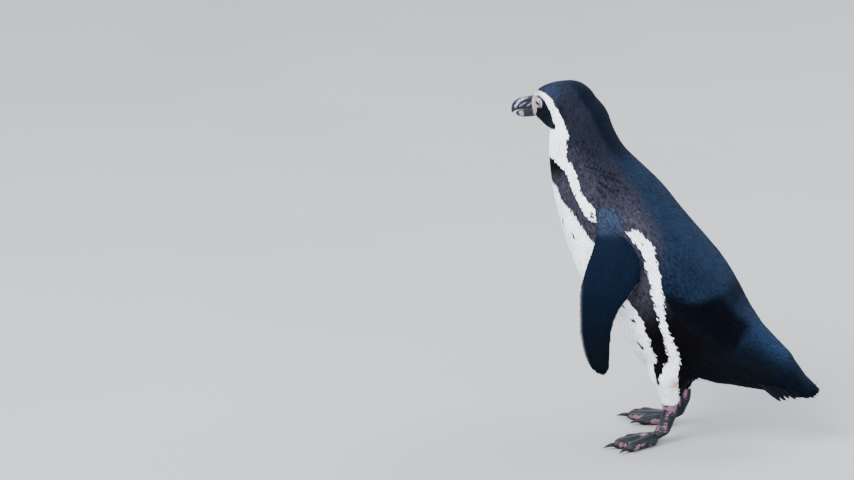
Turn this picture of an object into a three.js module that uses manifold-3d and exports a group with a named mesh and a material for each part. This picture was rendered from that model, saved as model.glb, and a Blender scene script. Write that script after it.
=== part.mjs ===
// Humboldt penguin, life size, standing with the body leaning forward and the head turned to its right.
// Millimetres. The bird faces -Y, its left side is +X, and +Z is up. The floor is Z = 0.
import * as THREE from 'three';
import { mergeVertices } from 'three/addons/utils/BufferGeometryUtils.js';
import Module from 'manifold-3d';

const wasm = await Module();
wasm.setup();

// ---- Driving dimensions ----------------------------------------------------------------------------

const GAP = 0.3; // clearance between neighbouring pieces
const FAR = 900; // edge of the boxes that stand for a half space
const LEFT = 1;
const RIGHT = -1;

// Rings of the body from the tail to the crown. A ring has its centre, its half width to the side, its
// half depth from belly to back, and the lean of its back direction above the horizontal, in degrees.
// From the neck up the rings also turn to the bird's right.
const BODY_RINGS = [
  { y: 222, z: 75, lean: 58, width: 9, depth: 11 },
  { y: 201, z: 84, lean: 62, width: 20, depth: 20 },
  { y: 175, z: 102, lean: 68, width: 29, depth: 28.5 },
  { y: 137, z: 121, lean: 75, width: 42, depth: 44.5 },
  { y: 89, z: 144, lean: 66, width: 58, depth: 68.5 },
  { y: 47, z: 173, lean: 60, width: 72, depth: 91 },
  { y: 12, z: 223, lean: 49, width: 79, depth: 84.5 },
  { y: -21, z: 263, lean: 43, width: 79, depth: 83.5 },
  { y: -44, z: 301, lean: 39, width: 74, depth: 77 },
  { y: -66, z: 339, lean: 36, width: 64, depth: 65 },
  { x: -2, y: -82, z: 373, lean: 27, turn: -4, width: 53, depth: 53.5 },
  { x: -7, y: -92, z: 405, lean: 22, turn: -12, width: 45, depth: 45.5 },
  { x: -12, y: -96, z: 430, lean: 18, turn: -20, width: 39.5, depth: 39.5 },
  { x: -16, y: -103, z: 449, lean: 14, turn: -28, width: 33.5, depth: 32 },
  { x: -20, y: -112, z: 464, lean: 12, turn: -33, width: 25, depth: 22 },
];

// The thin cuts that part the body: a point on each cut, and the lean of its plane.
const TAIL_CUT = { y: 167, z: 103, lean: 67 };
const NECK_CUT = { y: -79, z: 369, lean: 27 };
const HEAD_CUT = { y: -93, z: 425, lean: 18 };

// Head pose. The head's own frame faces -Y too, with its origin in the middle of the skull.
const HEAD = { x: -24, y: -118, z: 451, turn: -33, pitch: 14 };
const SKULL_RINGS = [
  { y: 50, z: -10, width: 12, depth: 12 },
  { y: 38, z: -8, width: 23, depth: 23 },
  { y: 20, z: -6, width: 30.5, depth: 31.5 },
  { y: -4, z: -8, width: 32, depth: 34.5 },
  { y: -24, z: -7, width: 27.5, depth: 31.5 },
  { y: -38, z: -4.7, width: 21, depth: 25.5 },
  { y: -49, z: -4, width: 16, depth: 20.5 },
  { y: -58, z: -4.7, width: 11.5, depth: 15.8 },
];

// Bill, in the head's frame: the upper mandible ends in a hook, and the lower one is shorter.
const UPPER_BILL_RINGS = [
  { y: -38, z: 0, width: 7.5, depth: 8 },
  { y: -54, z: 0.5, width: 8, depth: 8.6 },
  { y: -72, z: -0.5, width: 7.2, depth: 8.6 },
  { y: -89, z: -1.5, width: 6, depth: 8 },
  { y: -100.5, z: -3.8, width: 4.4, depth: 6.6 },
  { y: -107.5, z: -9, width: 1.7, depth: 2.8 },
];
const LOWER_BILL_RINGS = [
  { y: -38, z: -12, width: 7.5, depth: 5.5 },
  { y: -57, z: -12.5, width: 7.4, depth: 6.5 },
  { y: -76, z: -13.8, width: 6.2, depth: 6 },
  { y: -90, z: -14.6, width: 4.8, depth: 4.8 },
  { y: -98, z: -14.2, width: 2.5, depth: 2.5 },
];
const EYE = { radius: 8, side: 17.3, forward: 26, height: 2.8 };

// Left flipper, from the shoulder to the tip. Width is half its thickness and depth is half its chord.
const FLIPPER_RINGS = [
  { x: 38, y: -43, z: 338, lean: -30, width: 11, depth: 20 },
  { x: 58, y: -38, z: 318, lean: -18, turn: 4, width: 10, depth: 18 },
  { x: 74, y: -30, z: 292, lean: -3, turn: 6, width: 8.5, depth: 25 },
  { x: 83, y: -28, z: 264, lean: -1, turn: 8, width: 7, depth: 35.5 },
  { x: 89, y: -34, z: 234, lean: 2, turn: 8, width: 6, depth: 37.5 },
  { x: 93, y: -45.5, z: 204, lean: -1, turn: 6, width: 5.2, depth: 27.5 },
  { x: 96, y: -50, z: 172, lean: 2, turn: 5, width: 4.4, depth: 22 },
  { x: 98.5, y: -47.5, z: 143.5, lean: 4, turn: 4, width: 3.6, depth: 18.5 },
  { x: 100, y: -43, z: 124, lean: 7, turn: 2, width: 2.7, depth: 13.5 },
  { x: 101, y: -37.5, z: 112, lean: 13, width: 1.4, depth: 4.6 },
];

// Left leg, feathered down to the ankle cut.
const LEG_RINGS = [
  { x: 34, y: 41, z: 142, lean: 20, width: 28, depth: 37 },
  { x: 35, y: 40, z: 106, lean: 10, width: 28, depth: 34 },
  { x: 33, y: 39, z: 84, lean: 6, width: 22, depth: 24 },
  { x: 32, y: 37.5, z: 65, lean: 4, width: 14.5, depth: 16 },
  { x: 31.5, y: 36, z: 46, lean: 2, width: 10.3, depth: 10.8 },
];
const ANKLE = { x: 31.5, y: 36, z: 53, width: 9.5, depth: 10.5 };

// Feet. A foot is placed by its heel and its heading, and a toe by its spread from that heading.
const FEET = {
  left: { side: LEFT, heelX: 40, heelY: 24, toeOut: 32, legBack: 0 },
  right: { side: RIGHT, heelX: 33, heelY: 28, toeOut: 3, legBack: 6 },
};
const TOES = [
  { name: 'inner', spread: -21, start: 0, length: 51, claw: 11, scale: 0.92 },
  { name: 'middle', spread: 0, start: 0, length: 70, claw: 12, scale: 1 },
  { name: 'outer', spread: 20, start: 0, length: 61, claw: 11, scale: 0.96 },
  { name: 'hallux', spread: -75, start: 4, length: 12, claw: 7, scale: 0.6 },
];
const TOE = { heelHeight: 8.5, heelRadius: 10, endHeight: 5.3, endRadius: 6.5 };
const HALLUX_HEIGHT = 5;
const WEB = { reach: 0.84, notch: 0.74, thickness: 2.6, height: 2 };
const CLAW = { rootRadius: 3.1, tipRadius: 0.8, inset: 3, drop: 2.4 };

// Stiff tail feathers, in a fan with a ridge: the middle one is the longest and lies highest.
const TAIL_FEATHERS = { count: 9, halfWidth: 9, halfThickness: 1.6, roof: 60 };
const TAIL_ROOTS = { middle: [0, 158, 122], outer: [24, 139, 104] };
const TAIL_TIPS = { middle: [0, 228, 71], outer: [30, 187, 69] };

// ---- Solids ----------------------------------------------------------------------------------------

function toSolid(geometry) {
  const bare = geometry.clone();
  bare.deleteAttribute('normal');
  bare.deleteAttribute('uv');
  const merged = mergeVertices(bare, 1e-4);
  const vertProperties = new Float32Array(merged.attributes.position.array);
  const triVerts = new Uint32Array(merged.index.array);
  return new wasm.Manifold(new wasm.Mesh({ numProp: 3, vertProperties, triVerts }));
}

function toGeometry(solid) {
  const { vertProperties, triVerts } = solid.getMesh();
  const geometry = new THREE.BufferGeometry();
  geometry.setAttribute('position', new THREE.BufferAttribute(new Float32Array(vertProperties), 3));
  geometry.setIndex(new THREE.BufferAttribute(new Uint32Array(triVerts), 1));
  geometry.computeVertexNormals();
  return geometry;
}

const moved = (solid, matrix) => toSolid(toGeometry(solid).applyMatrix4(matrix));
const joined = (solids) => solids.reduce((whole, solid) => whole.add(solid));
const radians = THREE.MathUtils.degToRad;
const smoothTrack = (points) => new THREE.CatmullRomCurve3(points, false, 'catmullrom');

// The frame of a ring: "side" points to the bird's left, and "back" leans above the horizontal.
function ringFrame({ x = 0, y, z, lean = 90, turn = 0, width, depth }) {
  const level = Math.cos(radians(lean));
  const sine = Math.sin(radians(turn));
  const cosine = Math.cos(radians(turn));
  return {
    centre: new THREE.Vector3(x, y, z),
    side: new THREE.Vector3(cosine, sine, 0),
    back: new THREE.Vector3(-sine * level, cosine * level, Math.sin(radians(lean))),
    radii: new THREE.Vector3(width, depth, 0),
  };
}

// Size of a section near the ends of a sweep: 0 at either end, 1 once past the rounded cap.
function capSwell(t, startCap, endCap) {
  const start = Math.min(t / startCap, 1);
  const end = Math.min((1 - t) / endCap, 1);
  return Math.sqrt(1 - (1 - start) ** 2) * Math.sqrt(1 - (1 - end) ** 2);
}

// A closed body swept smoothly through frames: a sphere whose latitude becomes the way along them.
// "grow" makes it larger all round, to cut a neighbour with clearance.
function sweep(frames, { around, along, startCap = 0.1, endCap = 0.1, grow = 0 }) {
  const centres = smoothTrack(frames.map((frame) => frame.centre));
  const sides = smoothTrack(frames.map((frame) => frame.side));
  const backs = smoothTrack(frames.map((frame) => frame.back));
  const radii = smoothTrack(frames.map((frame) => frame.radii));
  const facing = sides.getPoint(0.5).cross(backs.getPoint(0.5)).dot(centres.getTangent(0.5));
  const geometry = new THREE.SphereGeometry(1, around, along);
  const position = geometry.attributes.position;
  const point = new THREE.Vector3();
  for (let i = 0; i < position.count; i += 1) {
    point.fromBufferAttribute(position, i);
    const t = Math.acos(THREE.MathUtils.clamp(point.y, -1, 1)) / Math.PI;
    const spin = Math.hypot(point.x, point.z) || 1;
    const swell = capSwell(t, startCap, endCap);
    const size = radii.getPoint(t);
    const sideways = (point.x / spin) * swell * (size.x + grow) * Math.sign(facing);
    const backwards = (point.z / spin) * swell * (size.y + grow);
    point.copy(centres.getPoint(t));
    point.addScaledVector(sides.getPoint(t).normalize(), sideways);
    point.addScaledVector(backs.getPoint(t).normalize(), backwards);
    point.addScaledVector(centres.getTangent(t), grow * (2 * t - 1));
    position.setXYZ(i, point.x, point.y, point.z);
  }
  return toSolid(geometry);
}

const sweepRings = (rings, options) => sweep(rings.map(ringFrame), options);
const mirrored = (rings) => rings.map((ring) => ({ ...ring, x: -ring.x, turn: -(ring.turn ?? 0) }));
const onSide = (rings, side) => (side === LEFT ? rings : mirrored(rings));

// A half space as a large box that stops half a gap short of the cut: above it, or below it.
function halfSpace({ y = 0, z, lean = 0 }, sign) {
  const box = new THREE.BoxGeometry(FAR, FAR, FAR);
  box.translate(0, 0, sign * (FAR / 2 + GAP / 2));
  box.rotateX(radians(lean));
  box.translate(0, y, z);
  return toSolid(box);
}
const above = (cut) => halfSpace(cut, 1);
const below = (cut) => halfSpace(cut, -1);

// ---- Materials and nodes ---------------------------------------------------------------------------

const finish = (color, roughness) => new THREE.MeshStandardMaterial({ color, roughness, metalness: 0 });

function part(name, solid, color, roughness = 0.8) {
  const mesh = new THREE.Mesh(toGeometry(solid), finish(color, roughness));
  mesh.name = name;
  return mesh;
}

const COLORS = {
  slate: '#1e2a38',
  brown: '#2f2e36',
  white: '#e4e7ef',
  flipper: '#18222d',
  horn: '#1a1b1e',
  claw: '#26221f',
  eye: '#3a201a',
  skin: '#2b2527',
};

// ---- Head, neck, trunk and tail: one body parted by thin cuts --------------------------------------

const TORSO_MESH = { around: 30, along: 32, startCap: 0.03, endCap: 0.06 };
const SKULL_MESH = { around: 22, along: 17, startCap: 0.14, endCap: 0.1 };
const BILL_MESH = { around: 12, along: 12, startCap: 0.08, endCap: 0.16 };

const headGroup = new THREE.Group();
headGroup.position.set(HEAD.x, HEAD.y, HEAD.z);
headGroup.rotation.set(radians(HEAD.pitch), 0, radians(HEAD.turn), 'ZYX');
headGroup.updateMatrix();
const intoHead = headGroup.matrix.clone().invert();

const torso = sweepRings(BODY_RINGS, TORSO_MESH);
const torsoGrown = sweepRings(BODY_RINGS, { ...TORSO_MESH, grow: GAP });
const skull = sweepRings(SKULL_RINGS, SKULL_MESH);
const body = torso.add(moved(skull, headGroup.matrix));

const neck = body.intersect(below(HEAD_CUT)).intersect(above(NECK_CUT));
const trunk = torso.intersect(below(NECK_CUT)).intersect(above(TAIL_CUT));

// Bill: the lower mandible stops where the upper one begins, and both sit in a socket of the face.
const upperBill = sweepRings(UPPER_BILL_RINGS, BILL_MESH);
const upperBillGrown = sweepRings(UPPER_BILL_RINGS, { ...BILL_MESH, grow: GAP });
const lowerBill = sweepRings(LOWER_BILL_RINGS, BILL_MESH).subtract(upperBillGrown);
const lowerBillGrown = sweepRings(LOWER_BILL_RINGS, { ...BILL_MESH, grow: GAP });

// Eyeballs: each stands a little proud of its open socket.
function eyeSolid(side, grow = 0) {
  const ball = new THREE.SphereGeometry(EYE.radius + grow, 12, 8);
  ball.translate(side * EYE.side, -EYE.forward, EYE.height);
  return toSolid(ball);
}

// The head is made in its own frame, with the sockets of the bill and the eyes cut from it.
const sockets = joined([upperBillGrown, lowerBillGrown, eyeSolid(LEFT, GAP), eyeSolid(RIGHT, GAP)]);
const head = moved(body.intersect(above(HEAD_CUT)), intoHead).subtract(sockets);

headGroup.add(
  part('head', head, COLORS.slate),
  part('upper_bill', upperBill, COLORS.horn, 0.45),
  part('lower_bill', lowerBill, COLORS.horn, 0.45),
  part('left_eye', eyeSolid(LEFT), COLORS.eye, 0.1),
  part('right_eye', eyeSolid(RIGHT), COLORS.eye, 0.1),
);

// One stiff tail feather. "place" runs from -1 at the bird's right to 1 at its left.
function tailFeather(place) {
  const drop = Math.abs(place) ** 1.3;
  const between = ({ middle, outer }) => new THREE.Vector3(
    outer[0] * place,
    THREE.MathUtils.lerp(middle[1], outer[1], drop),
    THREE.MathUtils.lerp(middle[2], outer[2], drop),
  );
  const root = between(TAIL_ROOTS);
  const tip = between(TAIL_TIPS);
  const roof = radians(TAIL_FEATHERS.roof * place);
  const side = new THREE.Vector3(Math.cos(roof), 0, -Math.sin(roof));
  const back = side.clone().cross(tip.clone().sub(root)).normalize();
  const station = (t, breadth) => ({
    centre: root.clone().lerp(tip, t),
    side,
    back,
    radii: new THREE.Vector3(TAIL_FEATHERS.halfWidth * breadth, TAIL_FEATHERS.halfThickness, 0),
  });
  const stations = [station(0, 1), station(0.4, 1), station(0.8, 0.85), station(1, 0.3)];
  return sweep(stations, { around: 6, along: 6 });
}

function tailSolid() {
  const { count } = TAIL_FEATHERS;
  const places = Array.from({ length: count }, (_, i) => (2 * i) / (count - 1) - 1);
  return torso.add(joined(places.map(tailFeather))).intersect(below(TAIL_CUT));
}

// ---- Flippers and legs -----------------------------------------------------------------------------

function flipperSolid(side) {
  return sweepRings(onSide(FLIPPER_RINGS, side), { around: 14, along: 18 }).subtract(torsoGrown);
}

const ANKLE_CUT = { z: ANKLE.z };

function legSolid({ side, legBack }) {
  const rings = onSide(LEG_RINGS, side).map((ring) => ({ ...ring, y: ring.y + legBack }));
  return sweepRings(rings, { around: 16, along: 9 })
    .intersect(above(ANKLE_CUT))
    .subtract(torsoGrown);
}

// ---- Feet ------------------------------------------------------------------------------------------

// A toe in its own frame: it starts at the heel and points to -Y.
function toeSolid({ start, length, scale, name }) {
  const raise = name === 'hallux' ? HALLUX_HEIGHT : 0;
  const height = (t) => THREE.MathUtils.lerp(TOE.heelHeight, TOE.endHeight, t) * scale + raise;
  const radius = (t) => THREE.MathUtils.lerp(TOE.heelRadius, TOE.endRadius, t) * scale;
  const ring = (t) => ({
    y: -THREE.MathUtils.lerp(start, start + length, t),
    z: height(t),
    width: radius(t),
    depth: radius(t),
  });
  return sweepRings([ring(0), ring(0.5), ring(1)], { around: 10, along: 6, startCap: 0.2, endCap: 0.18 });
}

// A claw in its toe's frame: it leaves the toe's end and curves down.
function clawSolid({ start, length, claw, scale, name }, grow = 0) {
  const raise = name === 'hallux' ? HALLUX_HEIGHT : 0;
  const from = start + length - CLAW.inset;
  const rootZ = TOE.endHeight * scale + raise;
  const rings = [0, 0.35, 0.7, 1].map((t) => ({
    y: -(from + (claw + CLAW.inset) * t),
    z: rootZ + 0.8 * t - (CLAW.drop + 0.8) * t * t,
    width: THREE.MathUtils.lerp(CLAW.rootRadius, CLAW.tipRadius, t) * scale,
    depth: THREE.MathUtils.lerp(CLAW.rootRadius, CLAW.tipRadius, t) * scale,
  }));
  return sweepRings(rings, { around: 6, along: 6, startCap: 0.15, endCap: 0.12, grow });
}

const toePlace = ({ spread }, side) => new THREE.Matrix4().makeRotationZ(radians(side * spread));

// The web between two neighbouring toes, as a thin plate with a shallow notch at its front edge.
function webSolid(first, second, side) {
  const tip = (toe, reach) => {
    const angle = radians(side * toe.spread);
    const radius = (toe.start + toe.length) * reach;
    return [Math.sin(angle) * radius, -Math.cos(angle) * radius];
  };
  const middle = {
    spread: (first.spread + second.spread) / 2,
    start: 0,
    length: (first.length + second.length) / 2,
  };
  const outline = new THREE.Shape();
  outline.moveTo(0, 0);
  outline.lineTo(...tip(first, WEB.reach));
  outline.quadraticCurveTo(...tip(middle, WEB.notch), ...tip(second, WEB.reach));
  outline.closePath();
  const plate = new THREE.ExtrudeGeometry(outline, {
    depth: WEB.thickness,
    bevelEnabled: false,
    curveSegments: 6,
  });
  plate.translate(0, 0, WEB.height);
  return toSolid(plate);
}

// The bare shank, from the ankle cut down to the heel, in the foot's frame.
function shankSolid(ankle) {
  const rings = [
    { x: ankle.x, y: ankle.y, z: ankle.z + 8, lean: 0, width: ANKLE.width, depth: ANKLE.depth },
    { x: ankle.x, y: ankle.y, z: ankle.z - 12, lean: 0, width: ANKLE.width, depth: ANKLE.depth },
    { x: ankle.x * 0.5, y: ankle.y * 0.6, z: 26, lean: 4, width: 9.5, depth: 11 },
    { x: 0, y: -1, z: 5, lean: 12, width: 10, depth: 12 },
  ];
  return sweepRings(rings, { around: 14, along: 8 });
}

function makeFoot(name, { side, heelX, heelY, toeOut, legBack }) {
  const foot = new THREE.Group();
  foot.position.set(side * heelX, heelY, 0);
  foot.rotation.z = radians(side * toeOut);

  const ankle = new THREE.Vector3(side * ANKLE.x, ANKLE.y + legBack, ANKLE.z)
    .sub(foot.position)
    .applyAxisAngle(new THREE.Vector3(0, 0, 1), -foot.rotation.z);
  const toes = TOES.map((toe) => moved(toeSolid(toe), toePlace(toe, side)));
  const sockets = TOES.map((toe) => moved(clawSolid(toe, GAP), toePlace(toe, side)));
  const [inner, middle, outer] = TOES;
  const webs = [webSolid(inner, middle, side), webSolid(middle, outer, side)];
  const whole = joined([shankSolid(ankle), ...toes, ...webs])
    .intersect(halfSpace({ z: -GAP / 2 }, 1))
    .intersect(below(ANKLE_CUT))
    .subtract(joined(sockets));
  foot.add(part(`${name}_foot`, whole, COLORS.skin, 0.7));

  TOES.forEach((toe) => {
    const claw = part(`${name}_${toe.name}_claw`, clawSolid(toe), COLORS.claw, 0.5);
    claw.rotation.z = radians(side * toe.spread);
    foot.add(claw);
  });
  return foot;
}

// ---- Assembly --------------------------------------------------------------------------------------

const penguin = new THREE.Group();
penguin.add(
  headGroup,
  part('neck', neck, COLORS.brown),
  part('trunk', trunk, COLORS.slate),
  part('tail', tailSolid(), COLORS.slate),
  part('left_flipper', flipperSolid(LEFT), COLORS.flipper),
  part('right_flipper', flipperSolid(RIGHT), COLORS.flipper),
  part('left_leg', legSolid(FEET.left), COLORS.white),
  part('right_leg', legSolid(FEET.right), COLORS.white),
  makeFoot('left', FEET.left),
  makeFoot('right', FEET.right),
);

// The origin is the middle of the bird's bounding box, on the floor.
const bounds = new THREE.Box3().setFromObject(penguin, true);
const middle = bounds.getCenter(new THREE.Vector3());
penguin.position.set(-middle.x, -middle.y, -bounds.min.z);

export default penguin;
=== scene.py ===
import math

import bmesh
import bpy
import numpy as np
from mathutils import Matrix, Vector, noise
from mathutils.bvhtree import BVHTree


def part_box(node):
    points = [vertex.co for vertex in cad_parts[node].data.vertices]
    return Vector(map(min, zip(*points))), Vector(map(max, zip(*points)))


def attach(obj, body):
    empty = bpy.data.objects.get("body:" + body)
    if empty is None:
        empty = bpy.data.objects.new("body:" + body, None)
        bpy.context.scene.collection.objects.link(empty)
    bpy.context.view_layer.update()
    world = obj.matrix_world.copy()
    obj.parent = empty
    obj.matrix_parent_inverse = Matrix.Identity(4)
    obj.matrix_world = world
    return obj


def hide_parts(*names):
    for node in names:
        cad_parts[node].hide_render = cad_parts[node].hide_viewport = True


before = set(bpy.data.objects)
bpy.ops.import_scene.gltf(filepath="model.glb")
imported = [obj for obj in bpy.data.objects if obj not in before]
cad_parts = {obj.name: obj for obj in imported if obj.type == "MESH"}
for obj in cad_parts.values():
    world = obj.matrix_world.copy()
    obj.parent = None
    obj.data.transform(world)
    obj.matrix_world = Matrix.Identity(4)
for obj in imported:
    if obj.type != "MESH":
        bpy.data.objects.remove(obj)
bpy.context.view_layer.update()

bl_info = {
    "name": "Humboldt penguin",
    "version": (1, 0, 0),
    "blender": (4, 5, 0),
    "location": "3D View > Sidebar > Penguin",
    "description": "Builds a life-size Humboldt penguin: skin, coat, bill, eyes, claws, tail and stage",
    "category": "Object",
}

# The tables below are in millimetres and degrees, in the bird's own frame: it faces -Y, its left side
# is +X and the floor is Z = 0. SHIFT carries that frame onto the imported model, in metres.
MM = 0.001
BODY = "root"

HEAD = {"place": (-24, -118, 451), "turn": -33, "pitch": 14}
EYE_BALL = {"forward": 26, "height": 2.8, "radius": 8.0}

# The body's axis from the tail to the crown: x, y, z, lean and turn of its rings.
BODY_AXIS = (
    (0, 222, 75, 58, 0),
    (0, 201, 84, 62, 0),
    (0, 175, 102, 68, 0),
    (0, 137, 121, 75, 0),
    (0, 89, 144, 66, 0),
    (0, 47, 173, 60, 0),
    (0, 12, 223, 49, 0),
    (0, -21, 263, 43, 0),
    (0, -44, 301, 39, 0),
    (0, -66, 339, 36, 0),
    (-2, -82, 373, 27, -4),
    (-7, -92, 405, 22, -12),
    (-12, -96, 430, 18, -20),
    (-16, -103, 449, 14, -28),
    (-20, -112, 464, 12, -33),
)
FLIPPER_AXIS = (
    (38, -43, 338),
    (58, -38, 318),
    (74, -30, 292),
    (83, -28, 264),
    (89, -34, 234),
    (93, -45.5, 204),
    (96, -50, 172),
    (98.5, -47.5, 143.5),
    (100, -43, 124),
    (101, -37.5, 112),
)

FLESH = ("head", "neck", "trunk", "left_flipper", "right_flipper", "left_leg", "right_leg",
         "left_foot", "right_foot")
CLAWS = tuple(f"{side}_{toe}_claw" for side in ("left", "right")
              for toe in ("inner", "middle", "outer", "hallux"))
LEG_BACK = 6  # how far the right leg stands behind the left one
ANKLE_HEIGHT = 53


# ---- Frames and tables -------------------------------------------------------------------------------

def head_turn():
    turn = Matrix.Rotation(math.radians(HEAD["turn"]), 3, "Z")
    return turn @ Matrix.Rotation(math.radians(HEAD["pitch"]), 3, "X")


def find_shift():
    """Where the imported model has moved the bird's own frame, read from the two eyeballs."""
    eyes = [sum(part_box(name), Vector()) / 2 for name in ("left_eye", "right_eye")]
    local = Vector((0, -EYE_BALL["forward"], EYE_BALL["height"]))
    made = (Vector(HEAD["place"]) + head_turn() @ local) * MM
    return (eyes[0] + eyes[1]) / 2 - made


HEAD_TURN = head_turn()
SHIFT = find_shift()
HEAD_MATRIX = (
    Matrix.Translation(SHIFT + Vector(HEAD["place"]) * MM)
    @ HEAD_TURN.to_4x4()
    @ Matrix.Scale(MM, 4)
)


def to_bird(points):
    """World metres to the bird's millimetres."""
    return (np.asarray(points) - np.array(SHIFT)) / MM


def to_head(points):
    """World metres to the head's own millimetres."""
    rotation = np.array(HEAD_TURN)
    return (to_bird(points) - np.array(HEAD["place"])) @ rotation


def head_to_world(points):
    """The head's own millimetres to world metres."""
    homogeneous = np.concatenate([points, np.ones((len(points), 1))], 1)
    return (homogeneous @ np.array(HEAD_MATRIX).T)[:, :3]


def smooth_rows(rows, steps):
    """A table sampled on a Catmull-Rom spline through its rows."""
    rows = np.array(rows, float)
    last = len(rows) - 1
    t = np.linspace(0, last, steps)
    cell = np.clip(np.floor(t).astype(int), 0, last - 1)
    f = (t - cell)[:, None]
    before = np.where((cell == 0)[:, None], 2 * rows[0] - rows[1], rows[np.maximum(cell - 1, 0)])
    after = np.where((cell == last - 1)[:, None], 2 * rows[last] - rows[last - 1],
                     rows[np.minimum(cell + 2, last)])
    a, b = rows[cell], rows[cell + 1]
    return 0.5 * (2 * a + (b - before) * f + (2 * before - 5 * a + 4 * b - after) * f ** 2
                  + (3 * a - before - 3 * b + after) * f ** 3)


def unit(vectors):
    return vectors / np.maximum(np.linalg.norm(vectors, axis=-1, keepdims=True), 1e-9)


def ramp(value, low, high):
    """0 below low, 1 above high, and smooth between. Works with low above high too."""
    t = np.clip((np.asarray(value, float) - low) / (high - low), 0, 1)
    return t * t * (3 - 2 * t)


def mix(a, b, t):
    return a + (b - a) * t


def plain(colour, count):
    """The same colour at every one of so many places."""
    return np.tile(np.array(colour[:3]), (count, 1))


def painted(tint, colour, weight):
    """The tint of each place with a colour laid over it by a weight."""
    return mix(tint, np.array(colour[:3]), np.asarray(weight)[:, None])


class Axis:
    """A smooth line through the bird, which says how far along it and how far round it a point is."""

    def __init__(self, rows, steps=281):
        table = smooth_rows(rows, steps)
        self.centre = table[:, :3]
        self.tangent = unit(np.gradient(self.centre, axis=0))
        step = np.linalg.norm(np.diff(self.centre, axis=0), axis=1)
        self.reach = np.concatenate(([0], np.cumsum(step)))
        if table.shape[1] == 5:
            lean, turn = np.radians(table[:, 3]), np.radians(table[:, 4])
            self.side = np.stack([np.cos(turn), np.sin(turn), 0 * turn], 1)
            self.back = np.stack([-np.sin(turn) * np.cos(lean), np.cos(turn) * np.cos(lean),
                                  np.sin(lean)], 1)

    def nearest(self, points, chunk=20000):
        found = []
        for start in range(0, len(points), chunk):
            part = points[start:start + chunk]
            gap = ((part[:, None, :] - self.centre[None]) ** 2).sum(2)
            found.append(gap.argmin(1))
        return np.concatenate(found)

    def locate(self, points):
        """Distance along the axis, angle from the belly (0) to the back (180), and which side."""
        i = self.nearest(points)
        out = points - self.centre[i]
        sideways = (out * self.side[i]).sum(1)
        backwards = (out * self.back[i]).sum(1)
        angle = np.degrees(np.arctan2(np.abs(sideways), -backwards))
        return self.reach[i], angle, np.sign(sideways), i


AXIS = Axis(BODY_AXIS)
WING = Axis(FLIPPER_AXIS, 121)


# ---- Markings ----------------------------------------------------------------------------------------

# Outlines of the white areas. On the body a point is (distance along the axis, angle from the belly),
# and on the head it is (y, z) of the head's frame. Both sides of the bird carry the same markings.
BELLY_WHITE = (
    (437, -20), (437, 16), (434, 31), (429, 45), (414, 49), (405, 57), (396, 63), (386, 67), (377, 69),
    (363, 73), (352, 76), (320, 76), (300, 74), (279, 73), (254, 72), (229, 72), (207, 64), (193, 52),
    (182, 41), (172, 20), (140, 20), (138, 33), (129, 31), (120, 24), (113, 12), (110, -20),
)
NECK_WHITE = (
    (462, -20), (462, 20), (459, 46), (448, 66), (439, 76), (426, 75), (413, 77), (405, 78), (394, 79),
    (384, 82), (375, 86), (379, 91), (386, 92), (394, 93), (405, 90), (413, 86), (426, 89), (435, 90),
    (447, 88), (455, 83), (467, 89), (480, 92), (489, 93), (500, 91), (512, 88), (512, 76), (498, 72),
    (489, 68), (488, 50), (489, 30), (491, -20),
)
FLANK_WHITE = (
    (345, 110.5), (331, 113), (317, 114), (306, 113), (295, 110.5), (283, 106), (271, 102), (254, 95),
    (238, 90), (226, 88), (213, 83), (201, 78.5), (193, 72), (180, 58), (172, 46), (168, 30), (152, 30),
    (154, 44), (160, 54), (168, 62), (182, 75.5), (191, 81), (200, 86), (213, 91), (222, 94), (232, 97.5),
    (248, 103.5), (265, 110.5), (287, 120), (305, 126), (322, 125), (338, 121.5), (345.5, 118),
)
BROW_WHITE = (
    (-50, 16), (-46, 14.5), (-40, 16), (-32, 16.4), (-19, 15), (-9, 13.3), (-2, 11), (4, 8), (8.5, 5),
    (12, 0.5), (14.5, -3.5), (21, -10.3), (26, -17.2), (29, -24.7), (32, -31), (35, -37), (37, -47),
    (20, -47), (8, -40), (6, -36), (15, -32.5), (13.8, -27), (8, -21.2), (6.8, -15.3), (4, -7.6),
    (-0.7, -0.7), (-4.5, 3), (-8.8, 6), (-15, 9), (-22.6, 10.8), (-34, 11.6), (-46, 12), (-52, 12),
)
FACE_SKIN = (
    (-66, 9), (-53, 9.5), (-47, 11.8), (-40, 12), (-31, 10.6), (-25, 8.8), (-18, 7.6), (-13.2, 4.2),
    (-12.6, 0), (-15.2, -3.8), (-22, -4.8), (-28, -3.8), (-31, -4.8), (-30.4, -7.6), (-35, -10.6),
    (-41, -12.8), (-45.5, -17), (-48.5, -22), (-52, -28), (-70, -30),
)
LEG_DARK = (
    (15, 152), (37, 152), (37.5, 122), (32, 108), (28.5, 99), (27, 84), (25.5, 84), (23, 100), (20, 112),
    (14, 132),
)
# Small dark spots: in the white of the body, as (along, angle, radius), and on the face as (y, z, radius).
BODY_SPOTS = (
    (390, 34, 2.6), (372, 51, 3.2), (263, 62, 2.2), (235, 63, 2.0), (207, 48, 2.6), (385, 87, 2.5),
    (318, 118, 1.8), (345, 22, 2.2), (300, 40, 2.0), (417, 71, 2.2), (403, 73.5, 2.4), (397, 74, 2.2),
)
FACE_SPOTS = ((-46.5, 10.4, 1.9), (-44, 9.4, 1.3))

# Creases in the coat where the neck bends, as paths of (along, angle), along which shade is painted.
SHADED_NECK_CREASES = (
    ((441, 109), (432, 121), (417, 136)), ((425, 122), (405, 136)), ((420, 113), (403, 120), (396, 128)),
    ((412, 108), (399, 112)),
)


def line_gap(points, start, end):
    """Distance of flat points to a segment."""
    start, end = np.array(start, float), np.array(end, float)
    edge = end - start
    t = np.clip(((points - start) @ edge) / max(edge @ edge, 1e-9), 0, 1)
    return np.linalg.norm(points - start - t[:, None] * edge, axis=1)


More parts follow.
